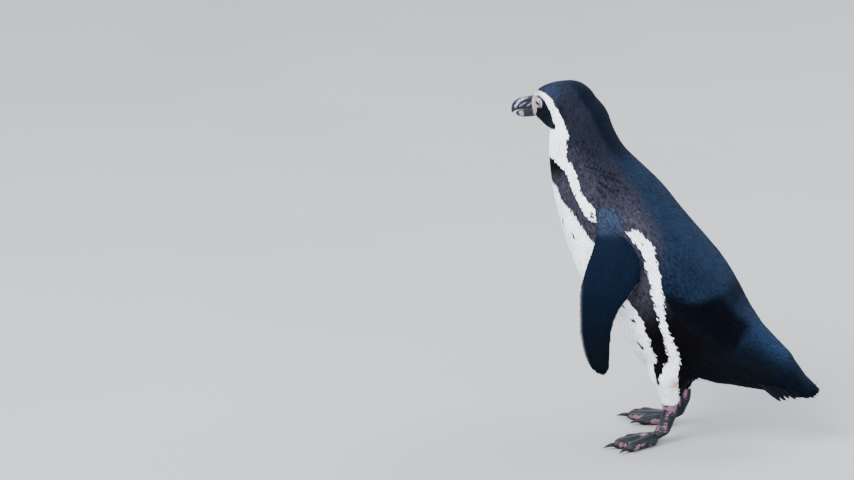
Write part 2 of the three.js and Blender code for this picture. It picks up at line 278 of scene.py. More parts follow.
def outline_distance(points, outline):
    """Signed distance of flat points to a closed outline: positive inside it."""
    corners = np.array(outline, float)
    inside = np.zeros(len(points), bool)
    nearest = np.full(len(points), 1e9)
    for a, b in zip(corners, np.roll(corners, -1, axis=0)):
        nearest = np.minimum(nearest, line_gap(points, a, b))
        crosses = (a[1] > points[:, 1]) != (b[1] > points[:, 1])
        rise = b[1] - a[1] if b[1] != a[1] else 1e-9
        inside ^= crosses & (points[:, 0] < a[0] + (b[0] - a[0]) * (points[:, 1] - a[1]) / rise)
    return np.where(inside, nearest, -nearest)


def girth(along):
    """The body's radius along its axis, roughly, to turn an angle round it into millimetres."""
    return np.interp(along, (0, 100, 200, 260, 400, 470, 540), (16, 45, 80, 82, 68, 46, 30))


def on_body(outline, along, angle):
    """Distance into an outline on the body, in millimetres."""
    corners = np.array(outline, float)
    corners[:, 1] *= np.radians(girth(corners[:, 0]))
    return outline_distance(np.stack([along, angle * np.radians(girth(along))], 1), corners)


class Place:
    """Where points lie on the bird: in the body's terms, in the head's, and in the bird's own frame."""

    def __init__(self, points):
        self.bird = to_bird(points)
        self.head = to_head(points)
        self.along, self.angle, self.side, self.index = AXIS.locate(self.bird)
        self.profile = self.head[:, 1:]

    def heel(self):
        """How far back each point lies, measured on either leg as on the left one."""
        return self.bird[:, 1] - np.where(self.bird[:, 0] < 0, LEG_BACK, 0)

    def face_distance(self):
        """Distance into the bare skin of the face, negative outside it."""
        inside = outline_distance(self.profile, FACE_SKIN)
        return np.where(self.along > 495, inside, -99)


def white_distance(at, leg):
    """Distance into the nearest white area, in millimetres, negative in the dark ones."""
    body = np.maximum.reduce([on_body(outline, at.along, at.angle)
                              for outline in (BELLY_WHITE, NECK_WHITE, FLANK_WHITE)])
    for along, angle, radius in BODY_SPOTS:
        across = (at.angle - angle) * math.radians(float(girth(along)))
        body = np.minimum(body, np.hypot((at.along - along) / 1.5, across) - radius)
    # The head is turned, so on its right side the stripe's lower end lies further forward.
    forward = 17 * (at.side < 0) * ramp(at.profile[:, 1], -8, -40)
    brow = outline_distance(at.profile + np.stack([forward, 0 * forward], 1), BROW_WHITE)
    head = np.where(at.along > 476, brow, -99)
    body = np.where(at.along > 512, -99, body)
    result = np.maximum(body, head)
    heel = at.heel()
    boot = 51 + (at.bird[:, 2] - 85) * 0.08 - heel
    wedge = outline_distance(np.stack([heel, at.bird[:, 2]], 1), LEG_DARK)
    inner = np.abs(at.bird[:, 0]) < np.where(at.bird[:, 0] < 0, 26, 33)
    boot = np.where(inner, np.minimum(boot, 24 - heel), np.minimum(boot, -wedge))
    return np.where(leg > 0.5, boot, result)


def zone_tint(at, shade):
    """The dark plumage at each place, zone by zone, softly blended, with painted sky sheen and painted shade
    in some zones.
    """
    along, angle = at.along, at.angle
    # The dark plumage starts from the back's colour, whose blue is painted reflection of the sky.
    tint = plain(shade["back"], len(along))

    def lay(name, weight):
        tint[:] = painted(tint, shade[name], weight)

    edge = np.interp(along, (270, 300, 360, 440, 500), (120, 135, 143, 151, 157))
    lay("side", ramp(angle, edge + 10, edge - 10) * ramp(along, 255, 300))
    lay("mantle", np.exp(-((along - 344) / 32) ** 2 - ((angle - 123) / 12) ** 2))
    lay("nape", ramp(along, 405, 455) * ramp(angle, 138, 160))
    lay("neck", ramp(along, 378, 460) * ramp(angle, 160, 140))
    lay("neck", 0.35 * np.exp(-((along - 402) / 14) ** 2 - ((angle - 128) / 12) ** 2))
    lay("mantle", 0.4 * ramp(along, 385, 415) * ramp(along, 478, 458) * ramp(angle, 120, 100))
    # The blue-black of the lower back and side, beside and above the white stripe, is partly the plumage's
    # own colour and partly painted shade.
    edge = np.interp(along, (100, 130, 165, 185, 200, 220, 240), (160, 151, 154, 143, 134, 121, 114))
    dark = ramp(angle, edge + 11, edge - 9) * ramp(along, 102, 120) * ramp(along, 262, 236)
    gap = 0.72 * np.exp(-((along - 157) / 18) ** 2)
    beside_stripe = 0.42 * np.exp(-((along - 252) / 36) ** 2) * ramp(angle, 134, 108)
    above_stripe = 0.26 * np.exp(-((along - 256) / 36) ** 2 - ((angle - 138) / 12) ** 2)
    lay("flank_and_painted_shade", np.maximum.reduce([dark, gap, beside_stripe, above_stripe]))
    # Over the tail the colour runs from the tail's black below to the rump's blue above: painted sky
    # reflection on the upper side.
    low = mix(shade["tail"], shade["rump"], ramp(angle, 102, 168)[:, None] ** 1.2)
    tint = mix(tint, low, ramp(along, 118, 104)[:, None])
    lay("under", ramp(angle, 124, 84) * ramp(along, 255, 205))
    lay("tail", 0.8 * ramp(along, 66, 34))

    edge = np.interp(along, (330, 360), (103, 84))
    ends = np.maximum(ramp(along, 272, 208), ramp(along, 432, 450))
    band = mix(shade["band"], shade["band_low"], ends[:, None])
    tint = mix(tint, band, ((angle < edge) * ramp(along, 120, 170) * ramp(along, 470, 455))[:, None])

    # A pale patch on the body over the top of the flipper: painted sheen of the sky on the upper arm.
    arm = np.hypot((along - 368) / 23, (angle - 101) / 14.5)
    lay("shoulder", 0.9 * ramp(arm, 1.1, 0.6))
    flat = np.stack([along, angle * np.radians(girth(along))], 1)
    # Painted shade along the neck's creases, in the black under the rump.
    for path in SHADED_NECK_CREASES:
        ends = [(s, a * math.radians(float(girth(s)))) for s, a in path]
        gap = np.min([line_gap(flat, start, end) for start, end in zip(ends, ends[1:])], axis=0)
        lay("under", 0.85 * np.exp(-(gap / 1.4) ** 2))

    head = ramp(along, 490, 515)
    front = ramp(at.profile[:, 0], 46, -4)
    lay("crown", head * ramp(at.profile[:, 1], -16, 12) * front)
    under_brow = ramp(at.profile[:, 0], 34, 22) * ramp(at.profile[:, 1], 0, -8)
    lay("throat", ramp(along, 478, 500) * under_brow)
    lay("throat", head * ramp(np.hypot(at.profile[:, 0] + 8, at.profile[:, 1] - 1), 14, 9))
    return tint


def wing_tint(at, normals, shade):
    """The flipper: dark outside and darker to its tip, pale within, with a pale line at each edge."""
    high = at.bird[:, 2]
    outward = normals[:, 0] * np.sign(at.bird[:, 0])
    wing = painted(plain(shade["flipper_top"], len(high)), shade["flipper_tip"], ramp(high, 250, 120))
    # The top of the flipper takes the same painted sheen as the shoulder.
    wing = painted(wing, shade["shoulder"], ramp(high, 294, 309))
    wing = painted(wing, shade["flipper_under"], ramp(outward, 0.05, -0.25))
    rear = ramp(normals[:, 1], 0.62, 0.85) * ramp(high, 176, 190) * ramp(high, 240, 226)
    wing = painted(wing, shade["flipper_under"], rear)
    lead = ramp(normals[:, 1], -0.1, -0.5) * ramp(high, 118, 150) * ramp(high, 240, 215)
    return painted(wing, shade["flipper_under"], 0.75 * lead)


def plumage_tint(at, normals, flipper, leg, colours, soft):
    """The colour of the plumage at each place, as the markings and the shades between them."""
    shade = {name: np.array(getattr(colours, name)[:3]) for name in PenguinColours.__annotations__}
    white = ramp(white_distance(at, leg), -soft, soft)
    tint = painted(zone_tint(at, shade), shade["white"], white)
    heel = at.heel()
    stain = np.exp(-((heel - 48) / 6) ** 2 - ((at.bird[:, 2] - 90) / 9) ** 2) * (leg > 0.5)
    tint = painted(tint, shade["stain"], stain * white)
    return mix(tint, wing_tint(at, normals, shade), ramp(flipper, 0.35, 0.65)[:, None]), white


# ---- Mesh helpers --------------------------------------------------------------------------------------

def link(name, bm, material=None):
    """Makes an object of a bmesh and frees it."""
    mesh = bpy.data.meshes.new(name)
    bm.to_mesh(mesh)
    bm.free()
    piece = bpy.data.objects.new(name, mesh)
    bpy.context.scene.collection.objects.link(piece)
    if material:
        mesh.materials.append(material)
    mesh.shade_smooth()
    return piece


def add_to(whole, part):
    """Adds one bmesh to another and frees it."""
    spare = bpy.data.meshes.new("spare")
    part.to_mesh(spare)
    part.free()
    whole.from_mesh(spare)
    bpy.data.meshes.remove(spare)


def discard(piece):
    mesh = piece.data
    bpy.data.objects.remove(piece)
    bpy.data.meshes.remove(mesh)


def applied(piece):
    """Applies every modifier of an object."""
    graph = bpy.context.evaluated_depsgraph_get()
    done = bpy.data.meshes.new_from_object(piece.evaluated_get(graph))
    old = piece.data
    piece.modifiers.clear()
    piece.data = done
    bpy.data.meshes.remove(old)
    return piece


def read_points(mesh):
    flat = np.empty(len(mesh.vertices) * 3, np.float32)
    mesh.vertices.foreach_get("co", flat)
    return flat.reshape(-1, 3).astype(float)


def write_points(mesh, points):
    mesh.vertices.foreach_set("co", points.astype(np.float32).ravel())
    mesh.update()


def read_normals(mesh):
    flat = np.empty(len(mesh.vertices) * 3, np.float32)
    mesh.vertex_normals.foreach_get("vector", flat)
    return flat.reshape(-1, 3).astype(float)


def store(mesh, name, kind, values):
    """Stores values as a named attribute of the vertices."""
    layer = mesh.attributes.get(name) or mesh.attributes.new(name, kind, "POINT")
    key = {"FLOAT": "value", "FLOAT_VECTOR": "vector", "FLOAT_COLOR": "color"}[kind]
    layer.data.foreach_set(key, np.asarray(values, np.float32).ravel())


def fetch(mesh, name, size=1):
    layer = mesh.attributes[name]
    flat = np.empty(len(layer.data) * size, np.float32)
    layer.data.foreach_get("value" if size == 1 else "vector", flat)
    return flat.astype(float) if size == 1 else flat.reshape(-1, size).astype(float)


def opaque(colours):
    return np.concatenate([colours, np.ones((len(colours), 1))], 1)


def loft(sections, around, caps=True):
    """Extrudes a ring through sections. A section turns the cosine and sine of an angle into a point."""
    bm = bmesh.new()
    ring = bmesh.ops.create_circle(bm, segments=around, radius=1)["verts"]
    edges = bm.edges[:]
    for number, section in enumerate(sections):
        spare = ring
        if number + 1 < len(sections):
            grown = bmesh.ops.extrude_edge_only(bm, edges=edges)["geom"]
            spare, ring = ring, [part for part in grown if isinstance(part, bmesh.types.BMVert)]
            edges = [part for part in grown if isinstance(part, bmesh.types.BMEdge)
                     and part.verts[0] in ring and part.verts[1] in ring]
        for vert in spare:
            vert.co = Vector(section(vert.co.x, vert.co.y))
    if caps:
        bmesh.ops.holes_fill(bm, edges=[edge for edge in bm.edges if edge.is_boundary], sides=0)
    bmesh.ops.recalc_face_normals(bm, faces=bm.faces)
    return bm


def remeshed(piece, voxel, smoothing):
    remesh = piece.modifiers.new("remesh", "REMESH")
    remesh.mode = "VOXEL"
    remesh.voxel_size = voxel
    smooth = piece.modifiers.new("smooth", "SMOOTH")
    smooth.factor = 0.5
    smooth.iterations = smoothing
    return applied(piece)


# ---- Skin ------------------------------------------------------------------------------------------------

# Rings of the body's axis that the stump under the tail passes through, with their half width and depth.
STUMP_RINGS = ((0, 10, 11), (1, 17, 20), (2, 29, 32), (3, 42, 46), (4, 56, 66))


def body_section(ring, width, depth):
    """A ring of the body as a section for loft."""
    x, y, z, lean, turn = BODY_AXIS[ring]
    lean, turn = math.radians(lean), math.radians(turn)
    centre = SHIFT + Vector((x, y, z)) * MM
    side = Vector((math.cos(turn), math.sin(turn), 0))
    back = Vector((-math.sin(turn) * math.cos(lean), math.cos(turn) * math.cos(lean), math.sin(lean)))
    return lambda c, s: centre + (side * c * width + back * s * depth) * MM


# Size of the cells in which each part of the flesh is remeshed, in metres, and how much it is smoothed.
CORE_CELL = (0.0026, 10)
LIMB_CELLS = {"flipper": (0.0013, 10), "foot": (0.0011, 4)}


def copies(names):
    """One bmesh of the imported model's solids, each closed and merged."""
    bm = bmesh.new()
    for name in names:
        part = bmesh.new()
        part.from_mesh(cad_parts[name].data)
        bmesh.ops.remove_doubles(part, verts=part.verts, dist=1e-6)
        if name.endswith("_foot"):
            top = [vert for vert in part.verts if vert.co.z > (ANKLE_HEIGHT - 1) * MM]
            bmesh.ops.translate(part, verts=top, vec=(0, 0, 0.012))
        if name.endswith("_bill"):
            root = HEAD_MATRIX @ Vector((0, -50, 0))
            forward = HEAD_TURN @ Vector((0, -1, 0))
            geom = part.verts[:] + part.edges[:] + part.faces[:]
            bmesh.ops.bisect_plane(part, geom=geom, plane_co=root, plane_no=forward, clear_outer=True)
            bmesh.ops.holes_fill(part, edges=[e for e in part.edges if e.is_boundary], sides=0)
        add_to(bm, part)
    return bm


def trees(names):
    found = {}
    for name in names:
        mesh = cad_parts[name].data
        verts = [vert.co for vert in mesh.vertices]
        found[name] = BVHTree.FromPolygons(verts, [tuple(p.vertices) for p in mesh.polygons])
    return found


def reach(tree, points, mask):
    """Distance from each masked point to a solid's surface, in millimetres."""
    result = np.full(len(points), 99.0)
    for i in np.nonzero(mask)[0]:
        result[i] = tree.find_nearest(Vector(points[i]))[3] / MM
    return result


def region_weights(points):
    """How much each point belongs to the flippers and to the legs."""
    bird = to_bird(points)
    tree = trees(("trunk", "left_flipper", "right_flipper", "left_leg", "right_leg"))
    near_wing = (np.abs(bird[:, 0]) > 55) & (bird[:, 2] < 325)
    near_leg = bird[:, 2] < 150
    trunk = reach(tree["trunk"], points, near_wing | near_leg)
    wing, leg = (np.minimum(reach(tree[f"left_{limb}"], points, near & (bird[:, 0] > 0)),
                            reach(tree[f"right_{limb}"], points, near & (bird[:, 0] < 0)))
                 for limb, near in (("flipper", near_wing), ("leg", near_leg)))
    flipper = ramp(trunk - wing, -3, 3) * near_wing
    legs = np.maximum(ramp(trunk - leg, -3, 3), ramp(bird[:, 2], 78, 70)) * near_leg
    return flipper, legs


def coat_depth(at, flipper, leg, sizes):
    """How far the skin lies inside the outline of the coat, in millimetres."""
    head = ramp(at.along, 430, 500)
    depth = mix(sizes.body_depth, sizes.head_depth, head) / MM
    depth = mix(depth, sizes.leg_depth / MM, ramp(leg, 0.3, 0.9))
    depth = mix(depth, sizes.flipper_depth / MM, ramp(flipper, 0.2, 0.9))
    depth = np.where(at.bird[:, 2] < ANKLE_HEIGHT + 2, 0, depth)
    return depth * ramp(at.face_distance(), 0.5, -3)


def make_flesh(sizes):
    """One closed surface for all the flesh, still without its coat's depth."""
    bm = copies(("head", "neck", "trunk", "left_leg", "right_leg", "left_eye", "right_eye",
                 "upper_bill", "lower_bill"))
    add_to(bm, loft([body_section(*ring) for ring in STUMP_RINGS], 32))
    core = remeshed(link("core", bm), *CORE_CELL)
    group = core.vertex_groups.new(name="broad")
    broad = ramp(Place(read_points(core.data)).along, 500, 440)
    for level in range(1, 11):
        chosen = np.nonzero(np.round(broad * 10) == level)[0]
        group.add(chosen.tolist(), level / 10, "REPLACE")
    smooth = core.modifiers.new("smooth", "SMOOTH")
    smooth.factor = 0.5
    smooth.iterations = 22
    smooth.vertex_group = group.name
    applied(core)

    parts = [core]
    for limb, cell in LIMB_CELLS.items():
        for name in (f"left_{limb}", f"right_{limb}"):
            parts.append(remeshed(link(name, copies([name])), *cell))
    whole = bmesh.new()
    for piece in parts:
        whole.from_mesh(piece.data)
        discard(piece)
    return remeshed(link("flesh", whole), sizes.skin_detail, 3)


# The gap between the lids: half its length and height, and how its rear end slants down, in degrees.
EYE_OPENING = {"long": 4.6, "short": 1.85, "slant": 36}
EYE_PLACE = (18.4, -24.0, 2.6)  # middle of the left eyeball as dressed, in the head's frame
EYE_AIM = (1, -0.12, 0.0)  # where the left eye looks
TOE_SPREAD = (-21, 0, 20)
FEET = {1: (40, 24, 32), -1: (33, 28, 3)}  # heel x and y, and how far the foot turns out


def eye_axes(side):
    """Centre of an eyeball and its own axes, in the head's frame: outward, along the lids, and up."""
    centre = np.array((side * EYE_PLACE[0], EYE_PLACE[1], EYE_PLACE[2]))
    out = unit(np.array((side * EYE_AIM[0], EYE_AIM[1], EYE_AIM[2])))
    along = unit(np.cross((0, 0, 1), out))
    return centre, out, along, np.cross(out, along)


def eye_opening(head_points, side):
    """For points round an eye: how far outside the lids' edge they lie, off the eye's axis, and out."""
    centre, out, along, up = eye_axes(side)
    offset = head_points - centre
    back, rise = side * (offset @ along), offset @ up
    slant = math.radians(EYE_OPENING["slant"])
    long = back * math.cos(slant) - rise * math.sin(slant)
    short = back * math.sin(slant) + rise * math.cos(slant)
    ratio = np.maximum(np.hypot(long / EYE_OPENING["long"], short / EYE_OPENING["short"]), 1e-3)
    flat = np.hypot(back, rise)
    return flat * (1 - 1 / ratio), flat, offset @ out


def shape_eyelids(head_points):
    """Opens the skin over each eyeball and raises a soft double rim of eyelid round it."""
    radius = EYE_BALL["radius"]
    for side in (1, -1):
        _, out, _, _ = eye_axes(side)
        edge, flat, high = eye_opening(head_points, side)
        ball = np.sqrt(np.maximum(radius ** 2 - flat ** 2, 0))
        rim = ball + 0.35 + 0.75 * np.exp(-((edge - 0.75) / 0.5) ** 2)
        rim += 0.9 * np.exp(-((edge - 2.9) / 0.8) ** 2) + 0.1 * edge
        lid = mix(ball - 1.5, rim, ramp(edge, -0.25, 0.25))
        target = mix(lid, high, ramp(edge, 3.4, 7.0))
        use = (high > 0) & (flat < 13)
        head_points[use] += ((target - high)[:, None] * out)[use]
    return head_points


def shape_face(head_points):
    """Draws the face in to the root of the bill."""
    back = ramp(head_points[:, 1], -45, -60)
    head_points[:, 0] *= mix(1, 0.78, back)
    head_points[:, 2] = mix(head_points[:, 2], -5 + (head_points[:, 2] + 5) * 0.9, back)
    return head_points


def foot_grid(bird):
    """For points on the feet: distance along the nearest toe, and distance off it."""
    best = np.full(len(bird), 1e9)
    run = np.zeros(len(bird))
    for side, (heel_x, heel_y, turn) in FEET.items():
        mine = np.sign(bird[:, 0] + 1e-6) == side
        for spread in TOE_SPREAD:
            angle = math.radians(side * (turn + spread))
            heading = np.array((math.sin(angle), -math.cos(angle)))
            offset = bird[:, :2] - (side * heel_x, heel_y)
            along = offset @ heading
            off = np.abs(offset @ np.array((heading[1], -heading[0])))
            off = np.where(mine, np.hypot(off, np.minimum(along, 0)), 1e9)
            closer = off < best
            best = np.where(closer, off, best)
            run = np.where(closer, along, run)
    return run, best


def shape_feet(points, normals):
    """Raises the scutes across the toes and the knuckles, and creases the shank."""
    bird = to_bird(points)
    run, off = foot_grid(bird)
    foot = ramp(bird[:, 2], ANKLE_HEIGHT, ANKLE_HEIGHT - 4)
    above = ramp(bird[:, 2], 2.5, 5)
    toe = ramp(off, 7.5, 4.5) * ramp(bird[:, 2], 16, 12) * ramp(run, 12, 18)
    scute = np.abs(np.sin(np.pi * run / 3.4)) ** 0.5 - 0.75
    knuckle = sum(np.exp(-((run - k) / 4) ** 2) for k in (26, 44, 58))
    shank = ramp(bird[:, 2], 14, 20)
    band = np.abs(np.sin(np.pi * (bird[:, 2] + 0.8 * np.sin(bird[:, 0])) / 3.8)) ** 0.5 - 0.75
    lift = toe * (0.45 * scute + 0.55 * knuckle) + shank * 0.32 * band
    web = ramp(off, 5.5, 8) * ramp(bird[:, 2], 12, 9)
    lift += web * 0.18 * np.sin(run * 1.9 + off)
    return points + normals * (lift * foot * above)[:, None] * MM


def noise_at(points, size, seed):
    """Smooth noise of a given grain in millimetres, between about -1 and 1."""
    shift = Vector((seed * 13.7, seed * 5.1, seed * 9.3))
    return np.array([noise.noise(Vector(p) / size + shift) for p in points])


UNDER_SHADE = 0.6  # how much darker the skin and the quills are than the feathers over them


def paint_skin(mesh, colours):
    """Colours the skin: the plumage's own markings, the bare pink face, and the dark blotched feet."""
    points, normals = read_points(mesh), read_normals(mesh)
    at = Place(points)
    flipper, leg = fetch(mesh, "flipper"), fetch(mesh, "leg")
    tint, _ = plumage_tint(at, normals, flipper, leg, colours, 0.8)
    tint *= UNDER_SHADE
    bare = ramp(at.face_distance(), -0.6, 0.4)
    pink = plain(colours.face, len(points))
    nearby = np.nonzero(bare > 0)[0]
    blush = np.zeros(len(points))
    blush[nearby] = noise_at(at.head[nearby], 5.0, 1)
    pale = ramp(at.profile[:, 1], -12, -22) * ramp(at.profile[:, 0], -38, -48)
    pink = painted(pink, colours.chin, np.clip(pale + 0.35 * ramp(blush, 0.1, 0.5), 0, 1))
    pore = np.zeros(len(points))
    pore[nearby] = noise_at(at.head[nearby], 1.9, 7)
    pink = painted(pink, colours.fold, 0.6 * ramp(blush + 0.5 * pore, -0.1, -0.5))
    for y, z, radius in FACE_SPOTS:
        spot = ramp(np.hypot(at.profile[:, 0] - y, at.profile[:, 1] - z), radius, radius * 0.6)
        pink = painted(pink, colours.throat, spot * 0.9)
    for side in (1, -1):
        edge, _, high = eye_opening(at.head, side)
        near = (high > 0) & (np.abs(edge) < 9)
        # The groove between the lid's two rims is painted darker as shade.
        lid_crease_shade = 0.6 * np.exp(-((edge - 1.9) / 0.5) ** 2)
        inner = np.maximum(ramp(edge, 0.8, 0.3), lid_crease_shade) * near
        pink = painted(pink, colours.lid_edge_and_crease_shade, inner * 0.9)
    tint = mix(tint, pink, bare[:, None])

    foot = ramp(at.bird[:, 2], ANKLE_HEIGHT + 14, ANKLE_HEIGHT + 10) * (leg > 0.5)
    low = np.nonzero(foot > 0)[0]
    _, off = foot_grid(at.bird)
    blotch, fleck = np.zeros(len(points)), np.zeros(len(points))
    blotch[low] = noise_at(at.bird[low] * (1, 1, 0.45), 9.0, 2)
    fleck[low] = noise_at(at.bird[low], 2.6, 3)
    web = ramp(off, 4.5, 7.5) * ramp(at.bird[:, 2], 12, 9)
    wish = 0.75 * blotch + 0.3 * fleck + 0.62 * web - 0.42
    wish += np.where(at.bird[:, 0] > 0, 0.5, 0.1) * ramp(at.bird[:, 2], ANKLE_HEIGHT - 10, ANKLE_HEIGHT - 1)
    wish += 0.2 * ramp(at.bird[:, 2], 14, 22)
    patch = ramp(wish, -0.08, 0.3)
    foot_tint = painted(plain(colours.foot_dark, len(points)), colours.foot_pink, patch)
    foot_tint *= (1 + 0.25 * fleck)[:, None]
    foot_tint = painted(foot_tint, colours.sole, ramp(at.bird[:, 2], 2.2, 0.8))
    tint = mix(tint, foot_tint, foot[:, None])
    store(mesh, "tint", "FLOAT_COLOR", opaque(np.clip(tint, 0, 1)))
    store(mesh, "bare", "FLOAT", bare)
    store(mesh, "foot", "FLOAT", foot)


def refine(mesh, chosen_face, cuts):
    """Splits the chosen faces of a mesh into smaller ones."""
    bm = bmesh.new()
    bm.from_mesh(mesh)
    faces = [face for face in bm.faces if chosen_face(face.calc_center_median())]
    edges = {edge for face in faces for edge in face.edges}
    bmesh.ops.subdivide_edges(bm, edges=list(edges), cuts=cuts, use_grid_fill=True)
    bm.to_mesh(mesh)
    bm.free()


# The lower back's swell, in the plane of y and z: its middle, the way down the back and out of it, how
# far it stands out, and how far down the back it reaches.
BACK_SWELL = {"middle": (105, 220), "down": (0.584, -0.811), "out": (0.811, 0.584), "height": 9.2,
              "reach": 60}


def back_swell(at, normals):
    """How far the lower back stands out over the solids' flatter back, in millimetres."""
    offset = at.bird[:, 1:] - BACK_SWELL["middle"]
    down, out = offset @ BACK_SWELL["down"], offset @ BACK_SWELL["out"]
    facing = ramp(normals[:, 1:] @ BACK_SWELL["out"], 0.3, 0.85)
    along = np.exp(-(down / BACK_SWELL["reach"]) ** 2)
    return BACK_SWELL["height"] * along * ramp(out, -60, -25) * facing


def make_skin(sizes):
    """The skin, as one closed mesh inside the coat, and the lie of the coat on it for the scatter."""
    flesh = make_flesh(sizes)
    points = read_points(flesh.data)
    flipper, leg = region_weights(points)
    store(flesh.data, "flipper", "FLOAT", flipper)
    store(flesh.data, "leg", "FLOAT", leg)
    eyes = [HEAD_MATRIX @ Vector(centre + out * EYE_BALL["radius"])
            for centre, out, _, _ in (eye_axes(1), eye_axes(-1))]
    refine(flesh.data, lambda c: min((c - eye).length for eye in eyes) < 0.015, 2)
    points, normals = read_points(flesh.data), read_normals(flesh.data)
    flipper, leg = fetch(flesh.data, "flipper"), fetch(flesh.data, "leg")
    at = Place(points)
    depth = coat_depth(at, flipper, leg, sizes)
    face = at.face_distance()
    store(flesh.data, "lie", "FLOAT_VECTOR", normals)
    store(flesh.data, "depth", "FLOAT", depth)
    store(flesh.data, "face", "FLOAT", face)
    plume = (face < -0.3) * ramp(at.bird[:, 2], ANKLE_HEIGHT + 2, ANKLE_HEIGHT + 4)
    store(flesh.data, "plume", "FLOAT", plume)
    points = points + normals * (back_swell(at, normals) - depth)[:, None] * MM
    on_head = at.along > 480
    points[on_head] = head_to_world(shape_eyelids(shape_face(to_head(points[on_head]))))
    write_points(flesh.data, points)
    return flesh


def finish_skin(flesh, sizes, colours, material):
    """Thins the skin where the coat hides it, details the feet, and colours it."""
    skin = flesh.copy()
    skin.data = flesh.data.copy()
    skin.name = skin.data.name = "skin"
    bpy.context.scene.collection.objects.link(skin)
    mesh = skin.data
    points = read_points(mesh)
    bird_z = to_bird(points)[:, 2]
    keep = np.maximum(ramp(fetch(mesh, "face"), -9, -4), ramp(bird_z, ANKLE_HEIGHT + 6, ANKLE_HEIGHT))
    group = skin.vertex_groups.new(name="thin")
    group.add(np.nonzero(keep < 0.5)[0].tolist(), 1.0, "REPLACE")
    thin = skin.modifiers.new("thin", "DECIMATE")
    thin.ratio = sizes.skin_share
    thin.vertex_group = group.name
    thin.vertex_group_factor = 1000
    applied(skin)
    skin.vertex_groups.clear()
    mesh = skin.data
    refine(mesh, lambda c: (c - SHIFT).z < (ANKLE_HEIGHT - 2) * MM, 1)
    write_points(mesh, shape_feet(read_points(mesh), read_normals(mesh)))
    paint_skin(mesh, colours)
    mesh.materials.clear()
    mesh.materials.append(material)
    mesh.shade_smooth()
    for name in ("lie", "depth", "face", "plume"):
        mesh.attributes.remove(mesh.attributes[name])
    return skin


# ---- Coat ------------------------------------------------------------------------------------------------

BAKE_PATCH = 0.003  # width of a feather's patch on the bake's map
BODY_VANE = ((0, 0.4), (0.45, 1), (0.8, 0.7), (1, 0))
SCALE_VANE = ((0, 0.5), (0.45, 1), (0.83, 0.7), (1, 0))


def scatter(flesh, spacing, seed):
    """Evenly spread places for feathers: their points, and what the skin stores there."""
    tree = bpy.data.node_groups.new("scatter", "GeometryNodeTree")
    for way in ("INPUT", "OUTPUT"):
        tree.interface.new_socket("Geometry", in_out=way, socket_type="NodeSocketGeometry")
    source, result = tree.nodes.new("NodeGroupInput"), tree.nodes.new("NodeGroupOutput")
    spread = tree.nodes.new("GeometryNodeDistributePointsOnFaces")
    spread.distribute_method = "POISSON"
    spread.inputs["Distance Min"].default_value = spacing
    spread.inputs["Density Max"].default_value = 2.2 / spacing ** 2
    spread.inputs["Seed"].default_value = seed
    mask = tree.nodes.new("GeometryNodeInputNamedAttribute")
    mask.inputs["Name"].default_value = "wanted"
    points = tree.nodes.new("GeometryNodePointsToVertices")
    tree.links.new(source.outputs[0], spread.inputs["Mesh"])
    tree.links.new(mask.outputs[0], spread.inputs["Density Factor"])
    tree.links.new(spread.outputs["Points"], points.inputs[0])
    tree.links.new(points.outputs[0], result.inputs[0])
    modifier = flesh.modifiers.new("scatter", "NODES")
    modifier.node_group = tree
    graph = bpy.context.evaluated_depsgraph_get()
    mesh = bpy.data.meshes.new_from_object(flesh.evaluated_get(graph))
    flesh.modifiers.remove(modifier)
    bpy.data.node_groups.remove(tree)
    found = {name: fetch(mesh, name) for name in ("flipper", "leg", "depth", "face")}
    found["points"], found["normals"] = read_points(mesh), unit(fetch(mesh, "lie", 3))
    bpy.data.meshes.remove(mesh)
    return found


def lie_of_coat(at, normals, flipper, leg):
    """The direction in which each feather points, along the skin, in the bird's frame."""
    body = -AXIS.tangent[at.index]
    outward = np.sign(at.head[:, 0]) * ramp(np.abs(at.head[:, 0]), 2, 20)
    stream = np.stack([0.15 * outward, np.ones(len(outward)), -0.28 - 0 * outward], 1)
    throat = ramp(at.profile[:, 1], -8, -24)
    stream = mix(stream, np.stack([0.1 * outward, 0.55 + 0 * outward, -0.7 + 0 * outward], 1),
                 throat[:, None])
    stream = stream @ np.array(HEAD_TURN).T
    head = ramp(at.along, 470, 515) * ramp(at.profile[:, 0], 46, 22)
    flow = mix(body, unit(stream), head[:, None])
    flow = mix(flow, np.array((0.0, -0.1, -1.0)), (0.85 * leg)[:, None])
    mirrored = at.bird.copy()
    mirrored[:, 0] = np.abs(mirrored[:, 0])
    wing = WING.tangent[WING.nearest(mirrored)].copy()
    wing[:, 0] *= np.sign(at.bird[:, 0])
    flow = mix(flow, wing, ramp(flipper, 0.1, 0.7)[:, None])
    return flat_on(flow, normals)


def flat_on(vectors, normals):
    return unit(vectors - (vectors * normals).sum(1)[:, None] * normals)


def feather_shape(stations, ridge):
    """A small closed vane, one unit long and from -1 to 1 across: flat below, with a low ridge above."""
    def section(along, half):
        return lambda c, s: (c / 0.866 * half, along, ridge * half * (s > 0.5))
    bm = loft([section(along, half) for along, half in stations], 3, caps=False)
    ends = ([v for v in bm.verts if v.co.y < stations[0][0] + 1e-4],
            [v for v in bm.verts if v.co.y > stations[-1][0] - 1e-4])
    for ring, (along, half) in zip(ends, (stations[0], stations[-1])):
        bmesh.ops.pointmerge(bm, verts=ring, merge_co=(0, along, 0.5 * ridge * half))
    bmesh.ops.recalc_face_normals(bm, faces=bm.faces)
    bm.verts.ensure_lookup_table()
    bm.normal_update()
    verts = np.array([v.co[:] for v in bm.verts])
    faces = [[v.index for v in f.verts] for f in bm.faces]
    rim = [sorted(v.index for v in e.verts) for e in bm.edges
           if (e.link_faces[0].normal.z > 0) != (e.link_faces[1].normal.z > 0)]
    bm.free()
    return verts, faces, rim


